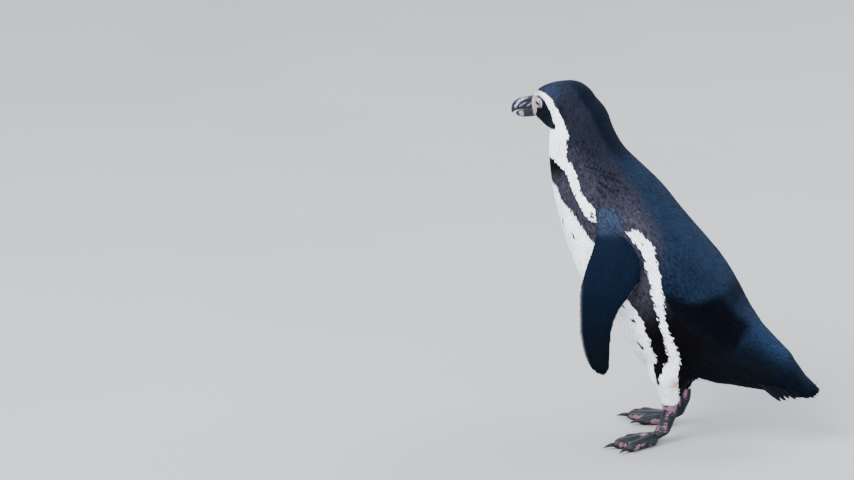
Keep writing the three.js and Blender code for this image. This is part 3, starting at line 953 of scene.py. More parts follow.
def joined_copies(name, faces, rim, placed, material):
    """One mesh of many copies of a shape, creased at its rim. placed holds the corners, copy by copy."""
    count, size = placed.shape[:2]
    corners = np.concatenate(faces)
    lengths = np.array([len(face) for face in faces])
    loops = (corners[None] + np.arange(count)[:, None] * size).ravel()
    totals = np.tile(lengths, count)
    starts = np.concatenate(([0], np.cumsum(totals)[:-1]))
    mesh = bpy.data.meshes.new(name)
    mesh.vertices.add(count * size)
    mesh.loops.add(len(loops))
    mesh.polygons.add(len(totals))
    mesh.vertices.foreach_set("co", placed.astype(np.float32).ravel())
    mesh.loops.foreach_set("vertex_index", loops.astype(np.int32))
    mesh.polygons.foreach_set("loop_start", starts.astype(np.int32))
    mesh.update(calc_edges=True)
    mesh.validate()
    mesh.materials.append(material)
    mesh.shade_smooth()
    ends = np.empty(len(mesh.edges) * 2, np.int32)
    mesh.edges.foreach_get("vertices", ends)
    ends = np.sort(ends.reshape(-1, 2) % size, axis=1)
    creased = np.zeros((size, size), bool)
    creased[tuple(np.array(rim).T)] = True
    mesh.edges.foreach_set("use_edge_sharp", creased[ends[:, 0], ends[:, 1]])
    piece = bpy.data.objects.new(name, mesh)
    bpy.context.scene.collection.objects.link(piece)
    return piece, corners


def lay_feathers(name, curve, frames, sizes_each, tint, unwrap, shape, material, rng):
    """Lays one piece of the coat. curve is the skin's radius along the lie; frames are roots, normals
    and lies; sizes_each are length, half width, and height of the tip over the skin, in metres; unwrap
    places each root on the bake's map."""
    verts, faces, rim = shape
    root, up, lie = frames
    length, half, height = (value[:, None] for value in sizes_each)
    count = len(root)
    turn = rng.normal(0, 0.09, count)[:, None]
    side = np.cross(lie, up)
    lie, side = lie * np.cos(turn) + side * np.sin(turn), side * np.cos(turn) - lie * np.sin(turn)
    across, along, over = verts[:, 0][None], verts[:, 1][None], verts[:, 2][None]
    bend = length * along
    rise = height * (2 * along - along ** 2) - bend ** 2 / (2 * curve[:, None])
    roll = rng.normal(0, 0.06, count)[:, None]
    rise = rise + over * half + roll * across * half
    placed = (root[:, None] + side[:, None] * (across * half)[..., None]
              + lie[:, None] * bend[..., None] + up[:, None] * rise[..., None])
    piece, corners = joined_copies(name, faces, rim, placed, material)
    mesh = piece.data
    store(mesh, "tint", "FLOAT_COLOR", opaque(np.repeat(tint, len(verts), 0)))
    vane = np.stack([verts[:, 0] * 0.5 + 0.5, verts[:, 1]], 1)
    patch = BAKE_PATCH * (vane - 0.5)
    bake = mesh.uv_layers.new(name="OFBake")
    bake.data.foreach_set("uv", (unwrap[:, None] + patch[corners][None]).astype(np.float32).ravel())
    strand = mesh.uv_layers.new(name="Vane")
    strand.data.foreach_set("uv", np.tile(vane[corners], (count, 1)).astype(np.float32).ravel())
    return piece


def fitted(values):
    """Unwrapped places spread over the bake's map, inside a margin."""
    low, high = values.min(0), values.max(0)
    return 0.01 + 0.98 * (values - low) / np.maximum(high - low, 1e-6)


# ---- Materials -------------------------------------------------------------------------------------------

class Net:
    """A hand for placing and wiring shader nodes."""

    def __init__(self, tree):
        self.tree = tree

    def plug(self, socket, value):
        if isinstance(value, bpy.types.NodeSocket):
            self.tree.links.new(value, socket)
        else:
            socket.default_value = value

    def node(self, kind, settings=(), **inputs):
        made = self.tree.nodes.new("ShaderNode" + kind)
        for key, value in dict(settings).items():
            setattr(made, key, value)
        for key, value in inputs.items():
            self.plug(made.inputs[key.replace("_", " ")], value)
        return made

    def math(self, operation, *values):
        made = self.node("Math", {"operation": operation})
        for socket, value in zip(made.inputs, values):
            self.plug(socket, value)
        return made.outputs[0]

    def ease(self, value, low, high, start=0.0, end=1.0):
        made = self.node("MapRange", {"interpolation_type": "SMOOTHSTEP"}, Value=value, From_Min=low,
                         From_Max=high, To_Min=start, To_Max=end)
        return made.outputs["Result"]

    def blend(self, factor, a, b, mode="MIX"):
        made = self.node("Mix", {"data_type": "RGBA", "blend_type": mode})
        for index, value in ((0, factor), (6, a), (7, b)):
            self.plug(made.inputs[index], value)
        return made.outputs[2]

    def shaded(self, tint, light):
        """A colour made lighter or darker by a value."""
        grey = self.node("CombineColor", Red=light, Green=light, Blue=light).outputs[0]
        return self.blend(1.0, tint, grey, "MULTIPLY")

    def noise(self, vector, scale, detail=3.0, roughness=0.55):
        made = self.node("TexNoise", Vector=vector, Scale=scale, Detail=detail, Roughness=roughness)
        return made.outputs["Fac"]


def node_group(name, inputs, outputs, build):
    """Makes a shader node group once. inputs are (name, kind, default)."""
    tree = bpy.data.node_groups.get(name)
    if tree:
        return tree
    tree = bpy.data.node_groups.new(name, "ShaderNodeTree")
    for label, kind, default in inputs:
        socket = tree.interface.new_socket(label, in_out="INPUT", socket_type="NodeSocket" + kind)
        socket.default_value = default
    for label, kind in outputs:
        tree.interface.new_socket(label, in_out="OUTPUT", socket_type="NodeSocket" + kind)
    net = Net(tree)
    source, result = tree.nodes.new("NodeGroupInput"), tree.nodes.new("NodeGroupOutput")
    made = build(net, source.outputs)
    for label, value in made.items():
        net.plug(result.inputs[label], value)
    return tree


def material(name, build, **constants):
    """A Principled material. build wires its patterns; constants stay on the shader's own sockets."""
    made = bpy.data.materials.new(name)
    made.use_nodes = True
    shader = made.node_tree.nodes["Principled BSDF"]
    for key, value in constants.items():
        shader.inputs[key.replace("_", " ")].default_value = value
    net = Net(made.node_tree)
    for socket, value in build(net).items():
        net.plug(shader.inputs[socket], value)
    return made


def tint_of(net):
    return net.node("Attribute", {"attribute_name": "tint"}).outputs["Color"]


def object_place(net):
    return net.node("TexCoord").outputs["Object"]


def bumped(net, height, strength, distance):
    bump = net.node("Bump", Strength=strength, Distance=distance)
    net.plug(bump.inputs["Height"], height)
    return bump.outputs["Normal"]


def build_vane(net, given):
    """The look of one feather: shaft, slanting barbs, a dark root and a paler tip."""
    uv = net.node("UVMap", {"uv_map": "Vane"}).outputs["UV"]
    parts = net.node("SeparateXYZ", Vector=uv).outputs
    off = net.math("ABSOLUTE", net.math("SUBTRACT", parts["X"], 0.5))
    along = parts["Y"]
    slant = net.math("MULTIPLY_ADD", off, -1.2, along)
    barbs = net.math("SINE", net.math("MULTIPLY", slant, given["Barbs"]))
    place = object_place(net)
    grain = net.noise(place, 420.0, 2.0)
    drift = net.noise(place, 38.0, 3.0)
    root = net.ease(along, 0.15, 0.8, 0.85, 1.0)
    tip = net.math("MULTIPLY_ADD", net.ease(along, 0.72, 0.98), given["Tip"], 1.0)
    shaft = net.ease(off, 0.07, 0.02)
    light = net.math("MULTIPLY", root, net.ease(grain, 0.3, 0.7, 0.82, 1.18))
    light = net.math("MULTIPLY", light, net.ease(drift, 0.3, 0.7, 0.9, 1.1))
    light = net.math("MULTIPLY", light, net.math("MULTIPLY_ADD", barbs, 0.07, 1.0))
    light = net.math("MULTIPLY", light, tip)
    colour = net.shaded(given["Tint"], light)
    colour = net.blend(net.math("MULTIPLY", shaft, 0.25), colour, given["Tint"])
    rough = net.math("ADD", net.ease(grain, 0.3, 0.7, -0.08, 0.1), given["Roughness"])
    height = net.math("MULTIPLY_ADD", barbs, 0.35, net.math("MULTIPLY", shaft, 0.8))
    return {"Colour": colour, "Roughness": rough, "Height": net.math("ADD", height, grain)}


VANE_INPUTS = (
    ("Tint", "Color", (0.1, 0.1, 0.1, 1)), ("Tip", "Float", 0.2), ("Barbs", "Float", 70.0),
    ("Roughness", "Float", 0.6),
)
VANE_OUTPUTS = (("Colour", "Color"), ("Roughness", "Float"), ("Height", "Float"))


def plumage_material(name, tip, barbs, roughness, **constants):
    def build(net):
        group = net.node("Group", {"node_tree": node_group("vane", VANE_INPUTS, VANE_OUTPUTS, build_vane)})
        for key, value in (("Tint", tint_of(net)), ("Tip", tip), ("Barbs", barbs), ("Roughness", roughness)):
            net.plug(group.inputs[key], value)
        return {
            "Base Color": group.outputs["Colour"],
            "Roughness": group.outputs["Roughness"],
            "Normal": bumped(net, group.outputs["Height"], 0.35, 0.0002),
        }
    return material(name, build, **constants)


def skin_material():
    """Thin skin: fine creases on the face, small flat scales on the feet."""
    def build(net):
        place = object_place(net)
        foot = net.node("Attribute", {"attribute_name": "foot"}).outputs["Fac"]
        bare = net.node("Attribute", {"attribute_name": "bare"}).outputs["Fac"]
        shown = net.math("MAXIMUM", foot, bare)
        scales = net.node("TexVoronoi", {"feature": "DISTANCE_TO_EDGE"}, Vector=place, Scale=760.0)
        edge = net.ease(scales.outputs["Distance"], 0.0, 0.2)
        fine = net.noise(place, 1500.0, 3.0)
        broad = net.noise(place, 180.0, 4.0)
        seams = net.math("MULTIPLY", foot, net.math("SUBTRACT", 1.0, edge))
        light = net.math("MULTIPLY", net.ease(broad, 0.3, 0.7, 0.85, 1.12),
                         net.math("MULTIPLY_ADD", seams, -0.22, 1.0))
        height = net.math("MULTIPLY_ADD", net.math("MULTIPLY", foot, edge), 1.0,
                          net.math("MULTIPLY", fine, 0.45))
        rough = net.math("ADD", net.ease(broad, 0.3, 0.7, 0.42, 0.6), net.math("MULTIPLY", foot, 0.06))
        return {"Base Color": net.shaded(tint_of(net), light), "Roughness": rough,
                "Coat Weight": net.math("MULTIPLY", shown, 0.4),
                "Normal": bumped(net, height, 0.5, 0.00025)}
    return material("skin", build, Specular_IOR_Level=0.03, Coat_Roughness=0.45)


def horn_material(name, roughness, streak, shine=0.16):
    """Horn with fine growth lines along it and scuffs."""
    def build(net):
        place = object_place(net)
        stretched = net.node("Mapping", Vector=place, Scale=(900.0, 260.0, 900.0)).outputs[0]
        lines = net.noise(stretched, 1.0, 4.0, 0.65)
        scuff = net.noise(place, 320.0, 3.0)
        light = net.math("MULTIPLY", net.ease(lines, 0.3, 0.7, 1.0 - streak, 1.0 + streak),
                         net.ease(scuff, 0.35, 0.7, 0.9, 1.12))
        rough = net.math("ADD", net.ease(scuff, 0.3, 0.75, -0.08, 0.16), roughness)
        return {"Base Color": net.shaded(tint_of(net), light), "Roughness": rough,
                "Normal": bumped(net, net.math("ADD", lines, net.math("MULTIPLY", scuff, 0.6)), 0.4, 0.0002)}
    return material(name, build, Specular_IOR_Level=shine)


# ---- Bill, eyes, claws and tail ----------------------------------------------------------------------------

# Sections of the mandibles, in the head's frame: y, top, bottom, half width.
UPPER_BILL = (
    (-44, 8.4, -8.0, 7.4), (-54, 9.0, -8.1, 7.9), (-63, 8.9, -8.6, 7.6), (-72, 8.3, -9.0, 7.1),
    (-81, 7.5, -9.2, 6.5), (-88, 6.5, -9.5, 5.9), (-94, 5.0, -9.8, 5.1), (-99, 2.9, -10.4, 4.2),
    (-103, 0.4, -11.2, 3.3), (-106, -3.0, -12.2, 2.3), (-107.8, -6.6, -12.9, 1.5), (-108.2, -9.5, -13.2, 0.8),
)
LOWER_BILL = (
    (-44, -8.4, -17.4, 7.0), (-57, -8.6, -18.9, 7.1), (-68, -9.2, -19.6, 6.6), (-78, -9.6, -19.9, 6.0),
    (-87, -9.9, -19.5, 5.2), (-93, -10.4, -18.5, 4.2), (-97, -11.2, -17.2, 3.0), (-99.5, -12.4, -15.8, 1.6),
)


def bill_section(y, top, bottom, half, widest):
    """A mandible's section: widest at its cutting edge, and rounded over the ridge."""
    middle = bottom + (top - bottom) * widest

    def place(c, s):
        x = half * math.copysign(abs(c) ** 0.85, c)
        span = top - middle if s > 0 else middle - bottom
        return x, y, middle + span * math.copysign(abs(s) ** 0.95, s)
    return place


def groove(distance, width):
    return np.exp(-(distance / width) ** 2)


# Pale marks of the bill's side: from, to, half width and strength.
UPPER_BARS = (
    ((-94.5, -4.2), (-84.6, 2.9), 1.7, 0.95), ((-84.6, 2.9), (-76, 5.6), 1.5, 0.95),
    ((-76, 5.6), (-68, 6.9), 1.0, 0.5), ((-84, -3.8), (-71, 0.2), 0.75, 0.5),
    ((-67, -3.8), (-57, 0), 0.75, 0.5),
)


BILL_RINGS, BILL_AROUND = 60, 88


def make_bill(colours):
    horn = horn_material("bill horn", 0.36, 0.2)
    pieces = []
    for name, rows, widest, upper in (("upper_mandible", UPPER_BILL, 0.22, True),
                                      ("lower_mandible", LOWER_BILL, 0.74, False)):
        rows = smooth_rows(rows, BILL_RINGS)
        bm = loft([bill_section(*row, widest) for row in rows], BILL_AROUND)
        bmesh.ops.subdivide_edges(bm, edges=bm.edges, cuts=1, use_grid_fill=True)
        piece = link(name, bm, horn)
        mesh = piece.data
        points, normals = read_points(mesh), read_normals(mesh)
        flat = points[:, 1:]
        sides = ramp(np.abs(points[:, 0]), 1.0, 2.6)
        lift = 0.02 * np.sin(points[:, 1] * 2.2 + points[:, 2] * 0.9) * ramp(points[:, 1], -60, -70)
        if upper:
            seam = line_gap(flat, (-58, 3.6), (-97, -1.5))
            nostril = np.hypot((flat[:, 0] + 64) / 3.4, (flat[:, 1] - 2.9) / 0.8)
            nail = line_gap(flat, (-95, 6), (-99, -10))
            plate = line_gap(flat, (-57, 9), (-60, -9))
            lift -= 0.55 * groove(seam, 0.75) * sides + 0.9 * ramp(nostril, 1.25, 0.6) * sides
            lift -= 0.35 * groove(nail, 0.7) + 0.4 * groove(plate, 0.8) * sides
            lift += 0.25 * groove(seam - 2.2, 1.2) * sides
        else:
            seam = line_gap(flat, (-60, -15.5), (-90, -15))
            plate = line_gap(flat, (-59, -8), (-63, -20))
            nail = line_gap(flat, (-88, -9), (-92, -20))
            lift -= 0.45 * groove(seam, 0.7) * sides + 0.4 * groove(plate, 0.8) + 0.3 * groove(nail, 0.6)
        points += normals * lift[:, None]
        tint = plain(colours.bill, len(points))
        fleck = noise_at(points, 1.6, 5)
        broad = noise_at(points, 5.0, 6)
        tint *= (1 + 0.35 * broad)[:, None]
        if upper:
            for start, end, width, strength in UPPER_BARS:
                gap = line_gap(flat, start, end)
                bar = ramp(gap + 0.3 * broad, width * 1.7, width * 0.35) * (0.85 + 0.25 * broad)
                tint = painted(tint, colours.bill_pale, strength * bar)
            edge = ramp(flat[:, 1], -6.6, -8.4) * ramp(flat[:, 0], -97, -90) * sides
        else:
            spot = np.hypot((flat[:, 0] + 84.5) / 6.0, (flat[:, 1] + 13.6) / 4.6) + 0.2 * fleck
            tint = painted(tint, colours.bill_pale, 0.6 * ramp(spot, 1.15, 0.55))
            edge = ramp(flat[:, 1], -11.2, -9.8) * ramp(flat[:, 0], -97, -90) * sides
        tint = painted(tint, colours.gape, 0.6 * edge)
        fleshy = ramp(flat[:, 0] + 0.8 * fleck - 0.25 * (flat[:, 1] + 5) * (not upper), -57.5, -54.5)
        tint = painted(tint, colours.face, 0.85 * fleshy)
        write_points(mesh, head_to_world(points))
        store(mesh, "tint", "FLOAT_COLOR", opaque(np.clip(tint, 0, 1)))
        pieces.append(piece)
    return pieces


def eye_material(name, matrix):
    """A dark wet eye: a black pupil in a brown iris, seen through a clear film."""
    to_eye = matrix.inverted()
    place, turn, _ = to_eye.decompose()

    def build(net):
        moved = net.node("Mapping", Vector=object_place(net), Location=place,
                         Rotation=turn.to_euler("XYZ")).outputs[0]
        parts = net.node("SeparateXYZ", Vector=moved).outputs
        away = net.math("SQRT", net.math("ADD", net.math("MULTIPLY", parts["X"], parts["X"]),
                                         net.math("MULTIPLY", parts["Y"], parts["Y"])))
        spin = net.math("ARCTAN2", parts["Y"], parts["X"])
        rays = net.node("CombineXYZ", X=net.math("MULTIPLY", spin, 7.0),
                        Y=net.math("MULTIPLY", away, 260.0)).outputs[0]
        fibres = net.noise(rays, 1.0, 4.0)
        iris = net.blend(net.ease(fibres, 0.3, 0.7), (0.006, 0.0025, 0.002, 1), (0.018, 0.006, 0.004, 1))
        iris = net.blend(net.ease(away, 0.0036, 0.0044), iris, (0.010, 0.007, 0.007, 1))
        colour = net.blend(net.ease(away, 0.0026, 0.0022), iris, (0.0015, 0.0015, 0.002, 1))
        return {"Base Color": colour, "Roughness": net.ease(fibres, 0.2, 0.8, 0.05, 0.12)}
    return material(name, build, Coat_Weight=0.15, Coat_Roughness=0.02, Specular_IOR_Level=0.1)


def make_eyes():
    pieces = []
    for side, name in ((1, "left_eyeball"), (-1, "right_eyeball")):
        centre, out, along, up = eye_axes(side)
        turn = Matrix([along, up, out]).transposed()
        if turn.determinant() < 0:
            turn = Matrix([-along, up, out]).transposed()
        matrix = Matrix.Translation(HEAD_MATRIX @ Vector(centre)) @ (HEAD_TURN @ turn).to_4x4()
        bm = bmesh.new()
        bmesh.ops.create_uvsphere(bm, u_segments=56, v_segments=36, radius=EYE_BALL["radius"] * MM)
        for vert in bm.verts:
            swell = math.exp(-(math.hypot(vert.co.x, vert.co.y) / 0.0034) ** 2) if vert.co.z > 0 else 0
            vert.co *= 1 + 0.05 * swell
        bmesh.ops.transform(bm, matrix=matrix, verts=bm.verts)
        pieces.append(link(name, bm, eye_material(name, matrix)))
    return pieces


# A toe's spread, where it starts, its length, its claw's length, its scale, and how high it sits.
TOE_TABLE = (
    (-21, 0, 51, 11, 0.92, 0), (0, 0, 70, 12, 1, 0), (20, 0, 61, 11, 0.96, 0), (-75, 4, 12, 7, 0.6, 5),
)


def make_claws(colours):
    """All eight claws, each curved, flattened beneath and sharp."""
    whole = bmesh.new()
    for side, (heel_x, heel_y, turn) in FEET.items():
        for spread, start, length, claw, scale, raised in TOE_TABLE:
            angle = math.radians(side * (turn + spread))
            heading = Vector((math.sin(angle), -math.cos(angle), 0))
            beside = Vector((heading.y, -heading.x, 0))
            heel = Vector((side * heel_x, heel_y, 0))
            root = 5.3 * scale + raised

            def section(t):
                run = start + length - 5 + (claw + 3) * t
                centre = heel + heading * run + Vector((0, 0, root + 1.6 * t - 4.4 * t * t))
                thick = 3.0 * scale * (1 - t ** 1.5) ** 0.8 + 0.15

                def place(c, s):
                    low = 0.72 if s < 0 else 1.12
                    point = centre + beside * (c * thick * 0.82) + Vector((0, 0, s * thick * low))
                    return SHIFT + point * MM
                return place
            add_to(whole, loft([section(t / 11) for t in range(12)], 14))
    piece = link("claws", whole, horn_material("claw horn", 0.4, 0.2))
    points = read_points(piece.data)
    fleck = noise_at(to_bird(points), 2.0, 8)
    tint = plain(colours.claw, len(points)) * (1 + 0.4 * fleck)[:, None]
    store(piece.data, "tint", "FLOAT_COLOR", opaque(tint))
    return piece


# Roots and tips of the middle and the outermost tail feather.
TAIL_COUNT = 18
TAIL_ROOTS = ((0, 158, 122), (24, 139, 104))
TAIL_TIPS = ((0, 228, 71), (30, 187, 69))


def make_tail(colours):
    """The stiff tail feathers: narrow blades with a raised shaft, in a fan with a ridge."""
    rng = np.random.default_rng(31)
    whole = bmesh.new()
    tints = []
    for number in range(TAIL_COUNT):
        place = 2 * number / (TAIL_COUNT - 1) - 1
        drop = abs(place) ** 1.3
        root, tip = (Vector((outer[0] * place, *(mix(a, b, drop) for a, b in zip(middle[1:], outer[1:]))))
                     for middle, outer in (TAIL_ROOTS, TAIL_TIPS))
        roof = math.radians(60 * place)
        side = Vector((math.cos(roof), 0, -math.sin(roof)))
        up = side.cross((tip - root).normalized())
        up = -up if up.z < 0 else up
        level = (number % 2 - 0.5) * 0.9
        bow = 2.5 + rng.uniform(-0.6, 0.6)
        trim = 1 - 0.05 * rng.random()

        def section(t):
            half = float(np.interp(t, (0, 0.15, 0.7, 0.92, 1), (2.2, 3.8, 4.4, 3.0, 0.5)))
            centre = root.lerp(tip, t * trim) + up * (level + bow * 4 * t * (1 - t) * 0.5)
            thick = mix(1.0, 0.4, t)

            def at(c, s):
                shaft = 0.9 * math.exp(-(c / 0.16) ** 2) * (1 - 0.7 * t)
                droop = -0.6 * c * c
                rise = s * thick * 0.5 + shaft * (s > 0) + droop
                return SHIFT + (centre + side * (c * half) + up * rise) * MM
            return at
        part = loft([section(t / 14) for t in range(15)], 20)
        tints.append(np.full(len(part.verts), rng.normal(1, 0.25)))
        add_to(whole, part)
    piece = link("tail_feathers", whole, horn_material("tail feather", 0.55, 0.3, 0.05))
    tint = plain(colours.tail, len(piece.data.vertices)) * np.concatenate(tints)[:, None]
    store(piece.data, "tint", "FLOAT_COLOR", opaque(tint * UNDER_SHADE))
    return piece


# ---- Laying the coat -----------------------------------------------------------------------------------

NECK_FROM, HEAD_FROM = 405, 478  # where the neck's coat and the head's begin, along the axis


def coat_regions(at, flipper, leg):
    """Which part of the coat each place belongs to."""
    wing = flipper > 0.5
    thigh = (leg > 0.5) & ~wing
    body = ~wing & ~thigh
    by_face = at.face_distance() > -8.5
    return {
        "face": body & by_face,
        "head": body & (at.along > HEAD_FROM) & ~by_face,
        "neck": body & (at.along > NECK_FROM) & (at.along <= HEAD_FROM),
        "body": body & (at.along <= NECK_FROM),
        "legs": thigh,
        "flippers": wing,
    }


def want(flesh, mask):
    store(flesh.data, "wanted", "FLOAT", mask * fetch(flesh.data, "plume"))


def feather_sizes(at, flipper, leg, face, depth, sizes, rng):
    """Length, half width and tip height of each feather, in metres."""
    count = len(face)
    body = np.interp(at.along, (380, 430, 480, 520), (1, 0.8, 0.5, 0.42))
    body *= mix(1, 1.5, ramp(at.along, 110, 40))
    length, half = sizes.body_length * body, sizes.body_width * 0.5 * np.sqrt(body)
    near = np.clip(-face, 0, 39)
    short = ramp(at.along, 480, 495)
    face_length = (2.2 + 0.22 * near) * MM
    length = mix(length, np.minimum(length, face_length), short)
    half = mix(half, np.minimum(half, (0.5 + 0.035 * near) * MM), short)
    down = ramp(leg, 0.3, 0.8)
    low = ramp(at.bird[:, 2], 100, 58)
    length = mix(length, mix(0.010, 0.0055, low), down)
    half = mix(half, mix(0.0013, 0.0009, low), down)
    wing = ramp(flipper, 0.3, 0.8)
    tip = ramp(at.bird[:, 2], 300, 120)
    length = mix(length, mix(0.0055, 0.0030, tip), wing)
    half = mix(half, mix(0.0010, 0.0007, tip), wing)
    height = np.maximum(depth, 0.15) * MM
    length *= rng.uniform(0.9, 1.1, count)
    half *= rng.uniform(0.9, 1.1, count)
    height *= rng.uniform(0.9, 1.08, count)
    return length, half, height


def lay_coat(flesh, region, spacing, seed, split, material, shape, sizes, colours):
    """Scatters one region of the coat and lays it in pieces. split names the pieces and their places."""
    rng = np.random.default_rng(seed)
    guide = Place(read_points(flesh.data))
    masks = coat_regions(guide, fetch(flesh.data, "flipper"), fetch(flesh.data, "leg"))
    want(flesh, masks[region].astype(float))
    found = scatter(flesh, spacing, seed)
    points, normals = found["points"], found["normals"]
    flipper, leg = found["flipper"], found["leg"]
    at = Place(points)
    lie = lie_of_coat(at, normals, flipper, leg)
    each = feather_sizes(at, flipper, leg, found["face"], found["depth"], sizes, rng)
    shown = points + lie * (each[0] * 0.8)[:, None] + rng.normal(0, 0.00045, points.shape)
    tint, white = plumage_tint(Place(shown), normals, flipper, leg, colours, 0.15)
    flecked = ramp(at.angle, 150, 125) * ramp(at.along, 190, 260) * (flipper < 0.5)
    spread = np.where(white > 0.5, 0.04, 0.1 + 0.16 * flecked)
    tint *= (1 + spread * rng.standard_normal(len(tint)))[:, None]
    tint = np.clip(tint, 0.0008, 0.92)
    girths = np.radians(girth(at.along)) * at.angle * at.side
    flat = np.stack([girths, at.along], 1)
    if region == "flippers":
        inner = normals[:, 0] * np.sign(at.bird[:, 0]) < 0
        flat = np.stack([at.bird[:, 1] + 120 * inner, at.bird[:, 2]], 1)
    if region == "legs":
        turned = np.arctan2(at.bird[:, 1] - 40, np.abs(at.bird[:, 0]) - 33)
        flat = np.stack([np.degrees(turned) * 0.4 * np.sign(at.bird[:, 0]) + 80 * np.sign(at.bird[:, 0]),
                         at.bird[:, 2]], 1)
    curve = np.interp(at.along, (400, 500, 530), (0.22, 0.07, 0.04))
    curve = np.where(flipper > 0.5, 0.4, np.where(leg > 0.5, 0.09, curve))
    made = []
    for name, chosen in split(at).items():
        pick = np.nonzero(chosen)[0]
        made.append(lay_feathers(
            name, curve[pick], (points[pick], normals[pick], lie[pick]), [value[pick] for value in each],
            tint[pick], fitted(flat[pick]), shape, material, rng))
    return made


# ---- Settings, operators and panel ---------------------------------------------------------------------

def metres(default, name, description):
    return bpy.props.FloatProperty(name=name, description=description, default=default, min=0.0,
                                   subtype="DISTANCE", unit="LENGTH", precision=4)


def colour(default, name, description):
    return bpy.props.FloatVectorProperty(name=name, description=description, default=default, size=3,
                                         min=0.0, max=1.0, subtype="COLOR")


def watts(default, name, description):
    return bpy.props.FloatProperty(name=name, description=description, default=default, min=0.0,
                                   subtype="POWER", unit="POWER")


class PenguinSizes(bpy.types.PropertyGroup):
    """Sizes of the skin and the coat"""

    body_depth: metres(0.0026, "Body coat depth", "How far the skin lies inside the body's outline")
    head_depth: metres(0.0012, "Head coat depth", "How far the skin lies inside the head's outline")
    leg_depth: metres(0.0016, "Leg coat depth", "How far the skin lies inside the feathered leg")
    flipper_depth: metres(0.0006, "Flipper coat depth", "How far the skin lies inside the flipper")
    skin_detail: metres(0.0015, "Skin detail", "Size of the skin's faces before it is thinned")
    skin_share: bpy.props.FloatProperty(
        name="Skin share", description="Share of the skin's faces that thinning keeps", default=0.22,
        min=0.05, max=1.0, subtype="FACTOR")
    body_length: metres(0.0105, "Body feather length", "Length of a feather on the body")
    body_width: metres(0.0028, "Body feather width", "Width of a feather on the body")
    body_spacing: metres(0.0016, "Body feather spacing", "Distance between feathers on the body")
    neck_spacing: metres(0.0014, "Neck feather spacing", "Distance between feathers on the neck")
    head_spacing: metres(0.0011, "Head feather spacing", "Distance between feathers on the head")
    face_spacing: metres(0.0008, "Face spacing", "Between the feathers beside the bare skin of the face")
    leg_spacing: metres(0.0014, "Leg feather spacing", "Distance between feathers on the legs")
    flipper_spacing: metres(0.0012, "Flipper feather spacing", "Distance between flipper feathers")


class PenguinColours(bpy.types.PropertyGroup):
    """Colours of the bird"""

    # The back's slate blue is painted reflection of the sky, laid over the plumage's blackish colour.
    back: colour((0.0060, 0.0122, 0.0268), "Back", "Slate blue of the back")
    mantle: colour((0.0295, 0.0285, 0.0405), "Mantle", "Paler brownish grey behind the shoulder")
    side: colour((0.0148, 0.0155, 0.024), "Side", "Brownish grey of the shoulder and the upper side")
    nape: colour((0.0014, 0.0033, 0.0086), "Nape", "Dark slate of the nape")
    neck: colour((0.0068, 0.0080, 0.0132), "Neck", "Blackish brown of the neck's side")
    crown: colour((0.0134, 0.0195, 0.039), "Crown", "Slate blue of the crown")
    # The blue-black of the lower side is partly the plumage's own colour and partly painted shade.
    flank_and_painted_shade: colour((0.0003, 0.0011, 0.0031), "Flank", "Blue-black of the lower side")
    # The rump's brighter blue is painted reflection of the sky on its upper side.
    rump: colour((0.0072, 0.0165, 0.038), "Rump", "Brighter slate blue over the tail")
    # The black under the rump is also laid along the neck's creases as painted shade.
    under: colour((0.0024, 0.0033, 0.0056), "Under the rump", "Black under the rump")
    tail: colour((0.0013, 0.0029, 0.0066), "Tail", "Black of the tail")
    band: colour((0.0225, 0.0220, 0.0315), "Band", "Greyish brown of the breast band")
    band_low: colour((0.0017, 0.0015, 0.0021), "Band's ends", "Black ends of the breast band")
    throat: colour((0.0028, 0.0054, 0.0102), "Throat", "Blue-black of the cheek and throat")
    # The shoulder's pale slate is painted sheen: sky light on the top of the upper arm.
    shoulder: colour((0.0165, 0.0255, 0.047), "Shoulder", "Pale slate at the top of the flipper")
    flipper_top: colour((0.0012, 0.0044, 0.0122), "Flipper, outer side", "Dark outer face of the flipper")
    flipper_tip: colour((0.0003, 0.0018, 0.0044), "Flipper's tip", "Darker outer face near the tip")
    flipper_under: colour((0.15, 0.155, 0.18), "Flipper, inner side", "Pale inner face and edges")
    white: colour((0.80, 0.825, 0.88), "White", "White of the belly and the stripes")
    stain: colour((0.40, 0.32, 0.15), "Stain", "Soiled yellowish feathers behind the leg's white")
    face: colour((0.27, 0.185, 0.228), "Face", "Bare pink skin of the face")
    chin: colour((0.36, 0.34, 0.36), "Chin", "Paler skin at the chin")
    fold: colour((0.15, 0.09, 0.115), "Folds", "Dark folds of the bare skin")
    # Dark inner edge of the lids, also painted as shade in the groove between their two rims.
    lid_edge_and_crease_shade: colour((0.012, 0.008, 0.012), "Lid edge", "Dark inner edge of the eyelids")
    bill: colour((0.0052, 0.0062, 0.0098), "Bill", "Dark horn of the bill")
    bill_pale: colour((0.27, 0.32, 0.43), "Bill bar", "Pale bars across the bill")
    gape: colour((0.05, 0.038, 0.045), "Cutting edge", "Paler cutting edges of the bill")
    foot_dark: colour((0.0062, 0.0078, 0.0115), "Foot", "Dark skin of the feet")
    foot_pink: colour((0.20, 0.10, 0.135), "Foot patches", "Pink patches of the feet")
    sole: colour((0.02, 0.017, 0.017), "Sole", "Sole of the foot")
    claw: colour((0.010, 0.009, 0.009), "Claws", "Dark horn of the claws")


class StageSettings(bpy.types.PropertyGroup):
    """The floor and the light"""

    floor_colour: colour((0.27, 0.27, 0.27), "Floor colour", "Pale studio floor")
    floor_width: metres(14.0, "Floor width", "Edge of the square floor")
    key_power: watts(215.0, "Key light", "Power of the large soft light")
    fill_power: watts(40.0, "Fill light", "Power of the fill light")
    rim_power: watts(74.0, "Rim light", "Power of the light behind")
    sky: bpy.props.FloatProperty(name="Sky", description="Strength of the even light all round",
                                 default=2.7, min=0.0)


def settle(piece, slot, *nodes):
    """Rides a finished piece on the body and hides the solids that it stands for. Its slot is not used."""
    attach(piece, BODY)
    if nodes:
        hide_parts(*nodes)
    return piece


